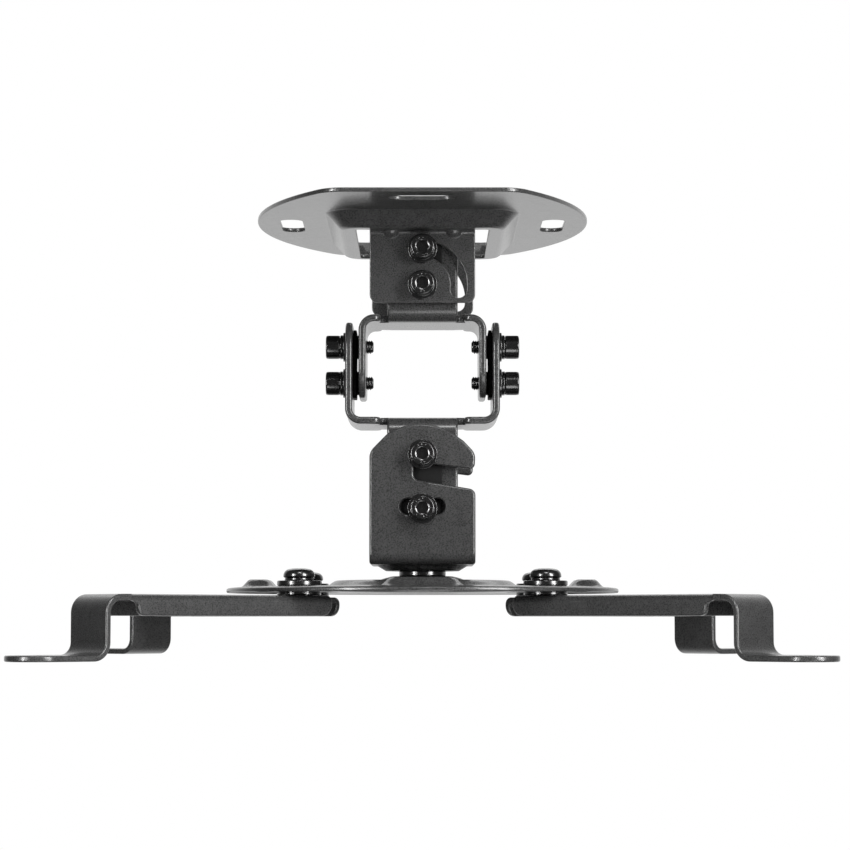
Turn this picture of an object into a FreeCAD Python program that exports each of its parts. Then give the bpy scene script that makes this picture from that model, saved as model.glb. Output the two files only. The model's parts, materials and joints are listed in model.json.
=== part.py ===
"""Projector ceiling mount: a pressed ceiling plate, two cross links, a hook box and four arms.

Millimetres, +Z up. The origin is on the drop axis, at the level of the ceiling.
X runs to the right of the front view and -Y points to its viewer.
"""
import FreeCAD, Part
import math
import os

from FreeCAD import Vector

os.makedirs("parts", exist_ok=True)

# Sheets and clearances
PLATE_SHEET = 1.5          # ceiling plate and spider disc
LINK_SHEET = 2.5           # both cross links and the hook box
ARM_SHEET = 2.0
RUN_GAP = 0.1              # between flat faces that move on each other
BORE_GAP = 0.1             # radial, around a shaft that turns
TAP_GAP = 0.05             # radial, around a thread in its own tapped hole

# M5 cap screws of the three joints
SCREW_D = 5.0
SCREW_LENGTH = 12.0
SCREW_THREAD_D = 4.8
HEAD_D = 8.3
HEAD_HEIGHT = 5.0
HEAD_SOFT = 0.5            # rounding of the head's top edge
SOCKET_ACROSS = 4.0
SOCKET_DEPTH = 2.6
THREAD_POINT = 0.6         # chamfer at the tip
HEAD_TURNS = (11.0, 28.0)  # degrees, how the pivot and the lock heads came to rest
FLAT_WASHER_D = 10.4
FLAT_WASHER_T = 1.0
SPRING_WASHER_D = 8.6
SPRING_WASHER_T = 1.2
SPRING_SPLIT = 0.8
LOCK_SLOT_SPARE = 0.5      # added to the screw for the width of a lock slot

# Friction pads between the sheets of each joint
PAD_T = 1.2
PAD_BOSS_T = 0.8
PAD_BOSS_D = 8.4
PAD_HALF_WIDTH = 6.9
PAD_END = 5.6              # pad beyond the outer screw centres
PAD_CORNER = 2.0
JOINT_GAP = PAD_T + PAD_BOSS_T + 2 * RUN_GAP

# Ceiling plate
PLATE_HALF_WIDTH = 59.3
PLATE_SIDE_RADIUS = 121.0
PLATE_FRONT = -70.0
PLATE_REAR = 84.0
PLATE_CORNER = 11.0
PAN_DEPTH = 5.8
PAN_HALF_WIDTH = 28.5      # floor of the pan, outside
PAN_FRONT = -28.0
PAN_REAR = 54.0
PAN_WALL_RUN = 5.5         # how far the pan's wall leans outward over its height
PAN_CORNER = 7.0
PAN_SOFT_OUT = 3.0
PAN_SOFT_IN = 1.0
SIDE_SLOT_X = 47.0
SIDE_SLOT_WIDTH = 8.0
SIDE_SLOT_LENGTH = 29.0
END_SLOT_INSET = 13.0      # from the plate's end to the slot's middle
END_SLOT_WIDTH = 9.0
END_SLOT_LENGTH = 22.5
WINDOW_HALF_WIDTH = 23.3
WINDOW_REAR = 50.0
WINDOW_CORNER = 1.5

# Ceiling bracket: the two ears bent down from the pan
EAR_HALF_WIDTH = 18.5
EAR_CORNER = 3.0
EAR_BEND = 1.5             # inside radius
GUSSET_X = 11.0
GUSSET_R = 3.2
GUSSET_SINK = 0.6          # centre of the half round inside the bend

# Levels of the joints, all from the ceiling
ROLL_LOCK_Z = -13.7
ROLL_PIVOT_Z = -26.5
EAR_BOTTOM_Z = -32.8
TILT_PIVOT_Z = -46.3
TILT_LOCK_Z = -59.3
HOOK_PIVOT_Z = -86.1
HOOK_LOCK_Z = -104.9
HOOK_BOTTOM_Z = -124.3
ROLL_SLOT_SWEEP = 98.0     # degrees, from the upright screw to the right
TILT_SWEEP = 15.0          # degrees each way
HOOK_SWEEP = 15.0
SLOT_SPARE_ANGLE = 0.6     # degrees left at the end of a lock slot

# Cross links
LINK_HALF_DEPTH = 17.5
LINK_BEND = 3.0
TAB_HALF_WIDTH = 12.4
TAB_CORNER = 3.0
RELIEF_WIDTH = 2.2
RELIEF_CORNER = 2.5        # rounding where a relief opens on the edge of the web
FLANGE_CORNER = 10.0
UPPER_WEB_TOP_Z = -36.3
UPPER_HALF_WIDTH = 22.5
UPPER_FLANGE_END_Z = -65.2
UPPER_TAB_END_Z = -8.6
LOWER_WEB_BOTTOM_Z = -75.0
LOWER_HALF_WIDTH = UPPER_HALF_WIDTH + JOINT_GAP + LINK_SHEET
LOWER_FLANGE_END_Z = -38.3
LOWER_TAB_END_Z = -111.2

# Hook box
HOOK_HALF_WIDTH = 18.5
HOOK_BEND = 1.5
HOOK_TOP_RISE = 10.6       # top of the round head above the pivot
HOOK_TOP_RADIUS = 20.5
HOOK_SEAT_R = 3.0
HOOK_LEFT_SOFT = 5.0       # rounding of the shoulder on the closed side
HOOK_RIGHT_SOFT = 4.5      # rounding of the shoulder over the mouth
DISH_TOP_R = 16.4
DISH_BOTTOM_R = 13.0
DISH_DEPTH = 2.0

# Swivel
SWIVEL_D = 10.0
SWIVEL_HEAD_D = 24.0
SWIVEL_HEAD_T = 2.0
NECK_D = 16.6
NECK_HEIGHT = 1.8
DISC_D = 29.4
DISC_T = 1.5
DISC_EDGE_T = 0.5
DISC_CROWN_D = 22.0        # flat top of the domed disc
SWIVEL_WASHER_D = 20.0
SWIVEL_WASHER_T = 1.5
SWIVEL_NUT_ACROSS = 16.0
SWIVEL_NUT_T = 7.0
SWIVEL_TIP = 1.5

# Nylon collar of every lock nut
COLLAR_SHARE = 0.25        # of the nut's height
COLLAR_RADIUS_SHARE = 0.44  # of its width across flats

# Spider disc
SPIDER_R = 69.5
SPIDER_RIM = 5.5           # width of the rim that bends down a little
SPIDER_DROOP = 0.5
SPIDER_RIM_BEND = 12.0     # radius of that bend
PLATEAU_TOP_R = 30.3
PLATEAU_BASE_R = 35.2
PLATEAU_RISE = 2.4
RIDGE_INSET = 11.3         # from the disc's rim to the middle line of a ridge
RIDGE_RADIUS = SPIDER_R - RIDGE_INSET
RIDGE_WIDTH = 12.0
RIDGE_RISE = 2.7
RIDGE_SOFT = 2.2           # rounding of a ridge's top edge
RIDGE_SWEEP = 15.0         # degrees

# Arms
ARM_ANGLE = 41.0           # degrees from the X axis
ARM_SCREW_INSET = 13.7     # from the disc's rim to the clamp screw
ARM_SCREW_RADIUS = SPIDER_R - ARM_SCREW_INSET
ARM_HALF_WIDTH = 10.3
ARM_INNER_REST = 6.4       # from the clamp screw to the arm's inner end
ARM_INNER_END = ARM_SCREW_RADIUS - ARM_INNER_REST
ARM_SKIRT_HEIGHT = 7.0
ARM_SKIRT_CORNER = 4.0     # at the inner end
ARM_SKIRT_RUNOUT = 5.6     # the skirt's outer end sweeps up over this length
ARM_FOLD_OUT = 2.6         # outside radius between web and skirt
ARM_REACH = 85.9           # from the clamp screw to the outer face of the leg
ARM_LEG_RADIUS = ARM_SCREW_RADIUS + ARM_REACH
ARM_SKIRT_REST = 9.7       # from the skirt's end to the outer face of the leg
ARM_SKIRT_END = ARM_LEG_RADIUS - ARM_SKIRT_REST
ARM_DROP = 19.5            # from the top of the arm to the top of the foot
ARM_BEND = 4.0             # inside radius of both bends
FOOT_REACH = 19.0          # from the outer face of the leg to the foot's hole
FOOT_HOLE_RADIUS = ARM_LEG_RADIUS + FOOT_REACH
FOOT_HOLE_D = 5.5
ARM_TRAVEL = 25.0
ARM_SLOT_SPARE = 0.2       # each side of the clamp screw

# M6 clamp screws of the arms
CLAMP_D = 6.0
CLAMP_THREAD_D = 5.9
CLAMP_HEAD_D = 10.8
CLAMP_HEAD_HEIGHT = 3.4
CLAMP_HEAD_BALL = 6.2      # radius of the dome
CLAMP_HEAD_LIP = 0.65      # from the underside up to the widest level
CLAMP_SOCKET_ACROSS = 4.0
CLAMP_SOCKET_DEPTH = 2.0
CLAMP_WASHER_D = 15.0
CLAMP_WASHER_T = 1.8
CLAMP_SPRING_D = 9.8
CLAMP_SPRING_T = 0.9
CLAMP_LOWER_T = 1.5
CLAMP_NUT_ACROSS = 10.0
CLAMP_NUT_T = 4.8

X_AXIS = Vector(1, 0, 0)
Y_AXIS = Vector(0, 1, 0)
Z_AXIS = Vector(0, 0, 1)
ORIGIN = Vector(0, 0, 0)


# Plain helpers

def block(x0, x1, y0, y1, z0, z1):
    """A box between two corners."""
    return Part.makeBox(x1 - x0, y1 - y0, z1 - z0, Vector(x0, y0, z0))


def rounded_wire(corners, place):
    """A closed wire of (a, b, radius) corners, each corner rounded by its radius."""
    starts = []
    ends = []
    middles = []
    count = len(corners)
    for index, (a, b, radius) in enumerate(corners):
        here = Vector(a, b, 0)
        before = Vector(corners[index - 1][0], corners[index - 1][1], 0) - here
        after_corner = corners[(index + 1) % count]
        after = Vector(after_corner[0], after_corner[1], 0) - here
        before.normalize()
        after.normalize()
        half = before.getAngle(after) / 2
        reach = radius / math.tan(half)
        bisector = before + after
        bisector.normalize()
        starts.append(here + before * reach)
        ends.append(here + after * reach)
        middles.append(here + bisector * (radius / math.sin(half) - radius))
    edges = []
    for index in range(count):
        following = (index + 1) % count
        if corners[index][2] > 0:
            arc = Part.Arc(place(starts[index]), place(middles[index]), place(ends[index]))
            edges.append(arc.toShape())
        if (ends[index] - starts[following]).Length > 1e-6:
            edges.append(Part.LineSegment(place(ends[index]), place(starts[following])).toShape())
    return Part.Wire(edges)


def prism_xy(corners, z0, z1):
    """A plan outline standing from z0 to z1."""
    wire = rounded_wire(corners, lambda p: Vector(p.x, p.y, z0))
    return Part.Face(wire).extrude(Vector(0, 0, z1 - z0))


def prism_xz(corners, y0, y1):
    """A front outline running from y0 to y1."""
    wire = rounded_wire(corners, lambda p: Vector(p.x, y0, p.y))
    return Part.Face(wire).extrude(Vector(0, y1 - y0, 0))


def prism_yz(corners, x0, x1):
    """A side outline running from x0 to x1."""
    wire = rounded_wire(corners, lambda p: Vector(x0, p.x, p.y))
    return Part.Face(wire).extrude(Vector(x1 - x0, 0, 0))


def rectangle(a0, a1, b0, b1, radius):
    """The four corners of a rounded rectangle."""
    return [(a0, b0, radius), (a1, b0, radius), (a1, b1, radius), (a0, b1, radius)]


def channel(half_width, floor, rim, sheet, bend):
    """The section of a folded channel: its floor's outer face, its rims and its bends."""
    way = 1 if rim > floor else -1
    return [
        (-half_width, rim, 0),
        (-half_width, floor, bend + sheet),
        (half_width, floor, bend + sheet),
        (half_width, rim, 0),
        (half_width - sheet, rim, 0),
        (half_width - sheet, floor + way * sheet, bend),
        (-half_width + sheet, floor + way * sheet, bend),
        (-half_width + sheet, rim, 0),
    ]


def cylinder(radius, start, end):
    """A round bar between two points."""
    return Part.makeCylinder(radius, (end - start).Length, start, end - start)


def hexagon(across, start, end, turn=0.0):
    """A hexagonal bar between two points on one axis."""
    axis = end - start
    height = axis.Length
    radius = across / 2 / math.cos(math.pi / 6)
    points = []
    for step in range(7):
        angle = math.radians(60 * step + turn)
        points.append(Vector(radius * math.cos(angle), radius * math.sin(angle), 0))
    bar = Part.Face(Part.makePolygon(points)).extrude(Vector(0, 0, height))
    bar.Placement = FreeCAD.Placement(start, FreeCAD.Rotation(Z_AXIS, axis))
    return bar


def arc_outline(radius, width, start_angle, end_angle, place):
    """A curved bar with round ends as a wire. Angles run clockwise from straight up."""
    half = width / 2
    middle = (start_angle + end_angle) / 2

    def spot(reach, angle, onward=0.0):
        turn = math.radians(angle)
        a = reach * math.sin(turn) + onward * math.cos(turn)
        b = reach * math.cos(turn) - onward * math.sin(turn)
        return place(Vector(a, b, 0))

    outer = radius + half
    inner = radius - half
    arcs = [
        (spot(outer, start_angle), spot(outer, middle), spot(outer, end_angle)),
        (spot(outer, end_angle), spot(radius, end_angle, half), spot(inner, end_angle)),
        (spot(inner, end_angle), spot(inner, middle), spot(inner, start_angle)),
        (spot(inner, start_angle), spot(radius, start_angle, -half), spot(outer, start_angle)),
    ]
    return Part.Wire([Part.Arc(*points).toShape() for points in arcs])


def lock_slot(pivot_z, radius, start_angle, end_angle, y0, y1):
    """A curved slot for a lock screw, about a Y axis at the pivot, seen from the front."""
    width = SCREW_D + LOCK_SLOT_SPARE
    wire = arc_outline(radius, width, start_angle, end_angle, lambda p: Vector(p.x, y0, pivot_z + p.y))
    return Part.Face(wire).extrude(Vector(0, y1 - y0, 0))


def ring(outer_d, inner_d, start, end):
    """A plain washer between two points on its axis."""
    return cylinder(outer_d / 2, start, end).cut(cylinder(inner_d / 2, start, end))


def turned(profile):
    """A solid turned about the drop axis from (radius, z, rounding) corners."""
    wire = rounded_wire(profile, lambda p: Vector(p.x, 0, p.y))
    shape = Part.Face(wire).revolve(ORIGIN, Z_AXIS, 360)
    return shape if shape.ShapeType == "Solid" else Part.Solid(shape)


def spring_ring(outer_d, inner_d, start, end, split_way):
    """A split washer: a ring with a narrow gap on one side."""
    axis = (end - start).normalize()
    side = axis.cross(split_way)
    middle = (start + end) * 0.5
    gap = Part.makeBox(outer_d, SPRING_SPLIT, (end - start).Length * 3)
    gap.translate(Vector(0, -SPRING_SPLIT / 2, -(end - start).Length * 1.5))
    turn = FreeCAD.Rotation(split_way, side, axis, "XZY")
    gap.Placement = FreeCAD.Placement(middle, turn).multiply(gap.Placement)
    return ring(outer_d, inner_d, start, end).cut(gap)


def fused(shapes):
    """One clean solid out of pieces that touch or overlap."""
    whole = shapes[0].multiFuse(shapes[1:]) if len(shapes) > 1 else shapes[0]
    return whole.removeSplitter()


def write(node, shape):
    """One STEP file for one node."""
    if not shape.isValid():
        print("not valid:", node)
    shape.exportStep("parts/" + node + ".step")
    print(node, "solids", len(shape.Solids), "volume", round(shape.Volume, 1))


def mirrored_y(shape):
    """The piece on the other side of the front plane."""
    return shape.mirror(ORIGIN, Y_AXIS)


def mirrored_x(shape):
    """The piece on the other side of the middle plane."""
    return shape.mirror(ORIGIN, X_AXIS)


# Fasteners

def cap_screw(seat, inward, turn):
    """An M5 cap screw: round head with a hexagon socket. The head's underside lies at the seat."""
    top = seat - inward * HEAD_HEIGHT
    tip = seat + inward * SCREW_LENGTH
    head = cylinder(HEAD_D / 2, top, seat)
    rim = [edge for edge in head.Edges if edge.CenterOfMass.distanceToPoint(top) < 1e-6]
    head = head.makeFillet(HEAD_SOFT, rim)
    head = head.cut(hexagon(SOCKET_ACROSS, top - inward, top + inward * SOCKET_DEPTH, turn))
    thread = SCREW_THREAD_D / 2
    shank_end = tip - inward * THREAD_POINT
    shank = cylinder(thread, seat - inward * 0.5, shank_end)
    point = Part.makeCone(thread, thread - THREAD_POINT, THREAD_POINT, shank_end, inward)
    return fused([head, shank, point])


def joint_fasteners(face, inward, centres):
    """Screws, spring washers and flat washers that clamp one face of a joint."""
    screws = []
    springs = []
    flats = []
    for index, centre in enumerate(centres):
        outward = inward * -1
        on_face = centre + outward * (face + RUN_GAP)
        flat_top = on_face + outward * FLAT_WASHER_T
        spring_top = flat_top + outward * SPRING_WASHER_T
        bore = SCREW_D + 2 * TAP_GAP
        flats.append(ring(FLAT_WASHER_D, bore, on_face, flat_top))
        split = Vector(0, 0, 1) if index == 0 else Vector(0, 0, -1)
        springs.append(spring_ring(SPRING_WASHER_D, bore, flat_top, spring_top, split))
        screws.append(cap_screw(spring_top, inward, HEAD_TURNS[index]))
    return screws, springs, flats


# Ceiling plate with its ears

def plate_outline():
    """The plate seen from below: two long side arcs, cut straight at the front and the rear."""
    offset = PLATE_SIDE_RADIUS - PLATE_HALF_WIDTH
    middle = (PLATE_FRONT + PLATE_REAR) / 2
    sides = []
    for way in (-1, 1):
        foot = Vector(way * offset, middle, -PLATE_SHEET)
        sides.append(Part.makeCylinder(PLATE_SIDE_RADIUS, PLATE_SHEET, foot))
    lens = sides[0].common(sides[1])
    slab = lens.common(block(-PLATE_HALF_WIDTH, PLATE_HALF_WIDTH, PLATE_FRONT, PLATE_REAR, -PLATE_SHEET, 0))
    corners = []
    for edge in slab.Edges:
        box = edge.BoundBox
        upright = box.ZLength > PLATE_SHEET / 2 and box.XLength < 1e-6 and box.YLength < 1e-6
        if upright and abs(box.XMin) < PLATE_HALF_WIDTH - 1:
            corners.append(edge)
    return slab.makeFillet(PLATE_CORNER, corners)


def pan_body(grow, z_top, z_bottom):
    """The pan as a tapered block. grow widens its floor and its mouth alike."""
    floor = rectangle(
        -PAN_HALF_WIDTH - grow,
        PAN_HALF_WIDTH + grow,
        PAN_FRONT - grow,
        PAN_REAR + grow,
        PAN_CORNER + grow,
    )
    wide = grow + PAN_WALL_RUN
    mouth = rectangle(
        -PAN_HALF_WIDTH - wide,
        PAN_HALF_WIDTH + wide,
        PAN_FRONT - wide,
        PAN_REAR + wide,
        PAN_CORNER + wide,
    )
    low = rounded_wire(floor, lambda p: Vector(p.x, p.y, z_bottom))
    high = rounded_wire(mouth, lambda p: Vector(p.x, p.y, z_top))
    return Part.makeLoft([low, high], True, True)


def level_edges(shape, level, inside):
    """The edges that lie flat at one level, within the pan's mouth."""
    found = []
    for edge in shape.Edges:
        box = edge.BoundBox
        flat = abs(box.ZMin - level) < 1e-4 and abs(box.ZMax - level) < 1e-4
        if flat and inside(box):
            found.append(edge)
    return found


def near_pan(box):
    """True for an edge of the pan, false for the plate's own outline."""
    reach = PAN_WALL_RUN + 3
    across = max(abs(box.XMin), abs(box.XMax)) < PAN_HALF_WIDTH + reach
    along = box.YMin > PAN_FRONT - reach and box.YMax < PAN_REAR + reach
    return across and along


def plan_slot(x, y, length_x, length_y):
    """A long hole through the rim of the plate."""
    half_x = length_x / 2
    half_y = length_y / 2
    radius = min(half_x, half_y) - 0.01
    return prism_xy(rectangle(x - half_x, x + half_x, y - half_y, y + half_y, radius), -PLATE_SHEET - 1, 1)


def ear():
    """The front ear: bent down from the pan's floor, with a pivot hole and a curved lock slot."""
    inner = LINK_HALF_DEPTH + JOINT_GAP
    outer = inner + PLATE_SHEET
    floor_top = -PAN_DEPTH
    floor_under = floor_top - PLATE_SHEET
    section = [
        (-outer - PAN_SOFT_OUT, floor_under, 0),
        (-outer, floor_under, EAR_BEND),
        (-outer, EAR_BOTTOM_Z, 0),
        (-inner, EAR_BOTTOM_Z, 0),
        (-inner, floor_top, EAR_BEND + PLATE_SHEET),
        (-outer - PAN_SOFT_OUT, floor_top, 0),
    ]
    folded = prism_yz(section, -EAR_HALF_WIDTH, EAR_HALF_WIDTH)
    front = [
        (-EAR_HALF_WIDTH, EAR_BOTTOM_Z, EAR_CORNER),
        (EAR_HALF_WIDTH, EAR_BOTTOM_Z, EAR_CORNER),
        (EAR_HALF_WIDTH, 0, 0),
        (-EAR_HALF_WIDTH, 0, 0),
    ]
    folded = folded.common(prism_xz(front, -outer - 2 * PAN_SOFT_OUT, -inner + 1))
    pieces = [folded]
    for x in (-GUSSET_X, GUSSET_X):
        bump = Part.makeSphere(GUSSET_R, Vector(x, -outer + GUSSET_SINK, floor_under + GUSSET_SINK))
        back = -inner - PLATE_SHEET / 4
        roof = floor_top - PLATE_SHEET / 4
        cover = block(x - GUSSET_R, x + GUSSET_R, -outer - 2 * GUSSET_R, back, EAR_BOTTOM_Z, roof)
        pieces.append(bump.common(cover))
    whole = fused(pieces)
    pivot = Vector(0, -outer - 1, ROLL_PIVOT_Z)
    hole = cylinder(SCREW_THREAD_D / 2 + BORE_GAP, pivot, pivot + Y_AXIS * (PLATE_SHEET + 2))
    radius = ROLL_LOCK_Z - ROLL_PIVOT_Z
    slot = lock_slot(ROLL_PIVOT_Z, radius, -SLOT_SPARE_ANGLE, ROLL_SLOT_SWEEP, -outer - 1, -inner + 1)
    return whole.cut(hole).cut(slot)


def ceiling_plate():
    """One pressing: the oval rim, the pan, the window and the two ears."""
    slab = plate_outline()
    under = pan_body(0, -PLATE_SHEET, -PAN_DEPTH - PLATE_SHEET)
    body = slab.fuse(under).removeSplitter()
    soft = level_edges(body, -PAN_DEPTH - PLATE_SHEET, near_pan)
    body = body.makeFillet(PAN_SOFT_OUT, soft)
    crease = level_edges(body, -PLATE_SHEET, near_pan)
    body = body.makeFillet(PAN_SOFT_IN, crease)
    lean = PAN_WALL_RUN / PAN_DEPTH
    wall = PLATE_SHEET * (math.sqrt(1 + lean * lean) - lean)
    hollow = pan_body(-wall, 0, -PAN_DEPTH)
    soft = level_edges(hollow, -PAN_DEPTH, near_pan)
    hollow = hollow.makeFillet(PAN_SOFT_IN, soft)
    body = body.cut(hollow)
    inner = LINK_HALF_DEPTH + JOINT_GAP
    front = -inner - PLATE_SHEET - EAR_BEND
    low = -PAN_DEPTH - PLATE_SHEET - 1
    mouth = rectangle(-WINDOW_HALF_WIDTH, WINDOW_HALF_WIDTH, front, inner, WINDOW_CORNER)
    cuts = [prism_xy(mouth, low, -PAN_DEPTH + 1)]
    for way in (-1, 1):
        near_x = way * EAR_HALF_WIDTH
        far_x = way * WINDOW_HALF_WIDTH
        slit = rectangle(min(near_x, far_x), max(near_x, far_x), 0, WINDOW_REAR, WINDOW_CORNER)
        cuts.append(prism_xy(slit, low, -PAN_DEPTH + 1))
    middle = (PLATE_FRONT + PLATE_REAR) / 2
    for way in (-1, 1):
        cuts.append(plan_slot(way * SIDE_SLOT_X, middle, SIDE_SLOT_WIDTH, SIDE_SLOT_LENGTH))
    for y in (PLATE_FRONT + END_SLOT_INSET, PLATE_REAR - END_SLOT_INSET):
        cuts.append(plan_slot(0, y, END_SLOT_LENGTH, END_SLOT_WIDTH))
    for cut in cuts:
        body = body.cut(cut)
    front = ear()
    return fused([body, front, mirrored_y(front)])


# Cross links

def tab_relief(z0):
    """What is cut from the front edge of a web for its tab: a notch with rounded shoulders."""
    side = TAB_HALF_WIDTH + RELIEF_WIDTH
    reach = LINK_BEND + LINK_SHEET
    edge = -LINK_HALF_DEPTH
    height = LINK_SHEET + 2
    notch = block(-side, side, edge, edge + reach, z0, z0 + height)
    shoulder = side + RELIEF_CORNER
    corner = block(-shoulder, shoulder, edge, edge + RELIEF_CORNER, z0, z0 + height)
    for x in (-shoulder, shoulder):
        foot = Vector(x, edge + RELIEF_CORNER, z0)
        corner = corner.cut(Part.makeCylinder(RELIEF_CORNER, height, foot))
    return notch.fuse(corner)


def cross_link(half_width, web_outer, flange_end, tab_end, pivot_z, lock_z):
    """A folded cross: two flanges on one side of its web and two tabs on the other."""
    way = 1 if flange_end > web_outer else -1
    web_inner = web_outer + way * LINK_SHEET
    main = prism_xz(
        channel(half_width, web_outer, flange_end, LINK_SHEET, LINK_BEND), -LINK_HALF_DEPTH, LINK_HALF_DEPTH
    )
    beyond = web_outer - way * 2 * FLANGE_CORNER
    low = min(flange_end, beyond)
    high = max(flange_end, beyond)
    side = rectangle(-LINK_HALF_DEPTH, LINK_HALF_DEPTH, low, high, FLANGE_CORNER)
    main = main.common(prism_yz(side, -half_width - 1, half_width + 1))
    relief = tab_relief(min(web_outer, web_inner) - 1)
    main = main.cut(relief).cut(mirrored_y(relief))
    tabs = prism_yz(
        channel(LINK_HALF_DEPTH, web_inner, tab_end, LINK_SHEET, LINK_BEND), -TAB_HALF_WIDTH, TAB_HALF_WIDTH
    )
    front = [
        (-TAB_HALF_WIDTH, tab_end, TAB_CORNER),
        (TAB_HALF_WIDTH, tab_end, TAB_CORNER),
        (TAB_HALF_WIDTH, web_inner, 0),
        (-TAB_HALF_WIDTH, web_inner, 0),
    ]
    tabs = tabs.common(prism_xz(front, -LINK_HALF_DEPTH - 1, LINK_HALF_DEPTH + 1))
    link = fused([main, tabs])
    tap = SCREW_THREAD_D / 2 + TAP_GAP
    for z in (pivot_z, lock_z):
        through = cylinder(tap, Vector(0, -LINK_HALF_DEPTH - 1, z), Vector(0, LINK_HALF_DEPTH + 1, z))
        link = link.cut(through)
    return link


def upper_link():
    """Flanges down, tabs up; the tilt screws are tapped into its flanges."""
    link = cross_link(
        UPPER_HALF_WIDTH, UPPER_WEB_TOP_Z, UPPER_FLANGE_END_Z, UPPER_TAB_END_Z, ROLL_PIVOT_Z, ROLL_LOCK_Z
    )
    tap = SCREW_THREAD_D / 2 + TAP_GAP
    side = UPPER_HALF_WIDTH + 1
    for z in (TILT_PIVOT_Z, TILT_LOCK_Z):
        link = link.cut(cylinder(tap, Vector(-side, 0, z), Vector(side, 0, z)))
    return link


def lower_link():
    """Flanges up outside the upper link, tabs down into the hook box."""
    link = cross_link(
        LOWER_HALF_WIDTH, LOWER_WEB_BOTTOM_Z, LOWER_FLANGE_END_Z, LOWER_TAB_END_Z, HOOK_PIVOT_Z, HOOK_LOCK_Z
    )
    pivot = cylinder(
        SCREW_THREAD_D / 2 + BORE_GAP,
        Vector(-LOWER_HALF_WIDTH - 1, 0, TILT_PIVOT_Z),
        Vector(LOWER_HALF_WIDTH + 1, 0, TILT_PIVOT_Z),
    )
    link = link.cut(pivot)
    reach = TILT_SWEEP + SLOT_SPARE_ANGLE
    radius = TILT_PIVOT_Z - TILT_LOCK_Z
    side = LOWER_HALF_WIDTH + 1
    slot = lock_slot(TILT_PIVOT_Z, radius, 180 - reach, 180 + reach, -side, side)
    slot.rotate(ORIGIN, Z_AXIS, 90)
    return link.cut(slot)


# Hook box

def hook_outline():
    """The face of the hook box about its pivot: round head, hook mouth on the right, straight sides."""
    half = HOOK_HALF_WIDTH
    bottom = HOOK_BOTTOM_Z - HOOK_PIVOT_Z
    seat = HOOK_SEAT_R
    rise = HOOK_TOP_RISE
    return [
        (-half, bottom, 0),
        (-half, rise * 0.09, HOOK_LEFT_SOFT),
        (-half * 0.68, rise * 0.66, HOOK_LEFT_SOFT),
        (-half * 0.03, rise * 1.415, HOOK_TOP_RADIUS),
        (half * 0.77, rise * 0.46, HOOK_RIGHT_SOFT),
        (half, rise * 0.04, HOOK_RIGHT_SOFT),
        (half * 0.984, -seat * 1.73, seat * 0.6),
        (seat, -seat * 1.17, 0.5),
        (seat, seat, seat - 0.05),
        (-seat, seat, seat - 0.05),
        (-seat, -seat * 2.9, seat * 0.67),
        (half, -seat * 4.07, seat * 0.83),
        (half, bottom, 0),
    ]


def hook_box():
    """A folded box open above and at both sides, with a dish pressed into its floor."""
    inner = LINK_HALF_DEPTH + JOINT_GAP
    outer = inner + LINK_SHEET
    top = HOOK_PIVOT_Z + HOOK_TOP_RISE + 1
    section = channel(outer, HOOK_BOTTOM_Z, top, LINK_SHEET, HOOK_BEND)
    box = prism_yz(section, -HOOK_HALF_WIDTH, HOOK_HALF_WIDTH)
    corners = [(a, b + HOOK_PIVOT_Z, r) for a, b, r in hook_outline()]
    box = box.common(prism_xz(corners, -outer - 1, outer + 1))
    floor_top = HOOK_BOTTOM_Z + LINK_SHEET
    dish = Part.makeCone(DISH_BOTTOM_R, DISH_TOP_R, DISH_DEPTH, Vector(0, 0, HOOK_BOTTOM_Z - DISH_DEPTH))
    wall = LINK_SHEET / 2
    pocket_floor = Vector(0, 0, floor_top - DISH_DEPTH)
    pocket = Part.makeCone(DISH_BOTTOM_R - wall, DISH_TOP_R - wall, DISH_DEPTH, pocket_floor)
    box = fused([box, dish]).cut(pocket)
    hole = cylinder(
        SWIVEL_D / 2 + TAP_GAP, Vector(0, 0, HOOK_BOTTOM_Z - DISH_DEPTH - 1), Vector(0, 0, floor_top + 1)
    )
    box = box.cut(hole)
    reach = HOOK_SWEEP + SLOT_SPARE_ANGLE
    radius = HOOK_PIVOT_Z - HOOK_LOCK_Z
    slot = lock_slot(HOOK_PIVOT_Z, radius, 180 - reach, 180 + reach, -outer - 1, outer + 1)
    return box.cut(slot)


# Friction pads

def joint_pad(face, z_high, z_low):
    """A plastic pad on the outside of a sheet, with a boss around each screw that fills the gap."""
    start = -face - JOINT_GAP + RUN_GAP
    plan = rectangle(-PAD_HALF_WIDTH, PAD_HALF_WIDTH, z_low - PAD_END, z_high + PAD_END, PAD_CORNER)
    pad = prism_xz(plan, start, start + PAD_T)
    for z in (z_low, z_high):
        foot = Vector(0, start + PAD_T - 0.1, z)
        pad = pad.fuse(cylinder(PAD_BOSS_D / 2, foot, foot + Y_AXIS * (PAD_BOSS_T + 0.1)))
    bottom = start + PAD_T + PAD_BOSS_T + 1
    for z in (z_low, z_high):
        pad = pad.cut(cylinder(SCREW_D / 2 + TAP_GAP, Vector(0, start - 1, z), Vector(0, bottom, z)))
    return pad.removeSplitter()


# Swivel and spider

DISH_UNDER_Z = HOOK_BOTTOM_Z - DISH_DEPTH
NECK_END_Z = DISH_UNDER_Z - NECK_HEIGHT
DISC_TOP_Z = NECK_END_Z - RUN_GAP
PLATEAU_TOP_Z = DISC_TOP_Z - DISC_T
SPIDER_TOP_Z = PLATEAU_TOP_Z - PLATEAU_RISE
SPIDER_UNDER_Z = SPIDER_TOP_Z - PLATE_SHEET
PLATEAU_UNDER_Z = PLATEAU_TOP_Z - PLATE_SHEET


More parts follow.
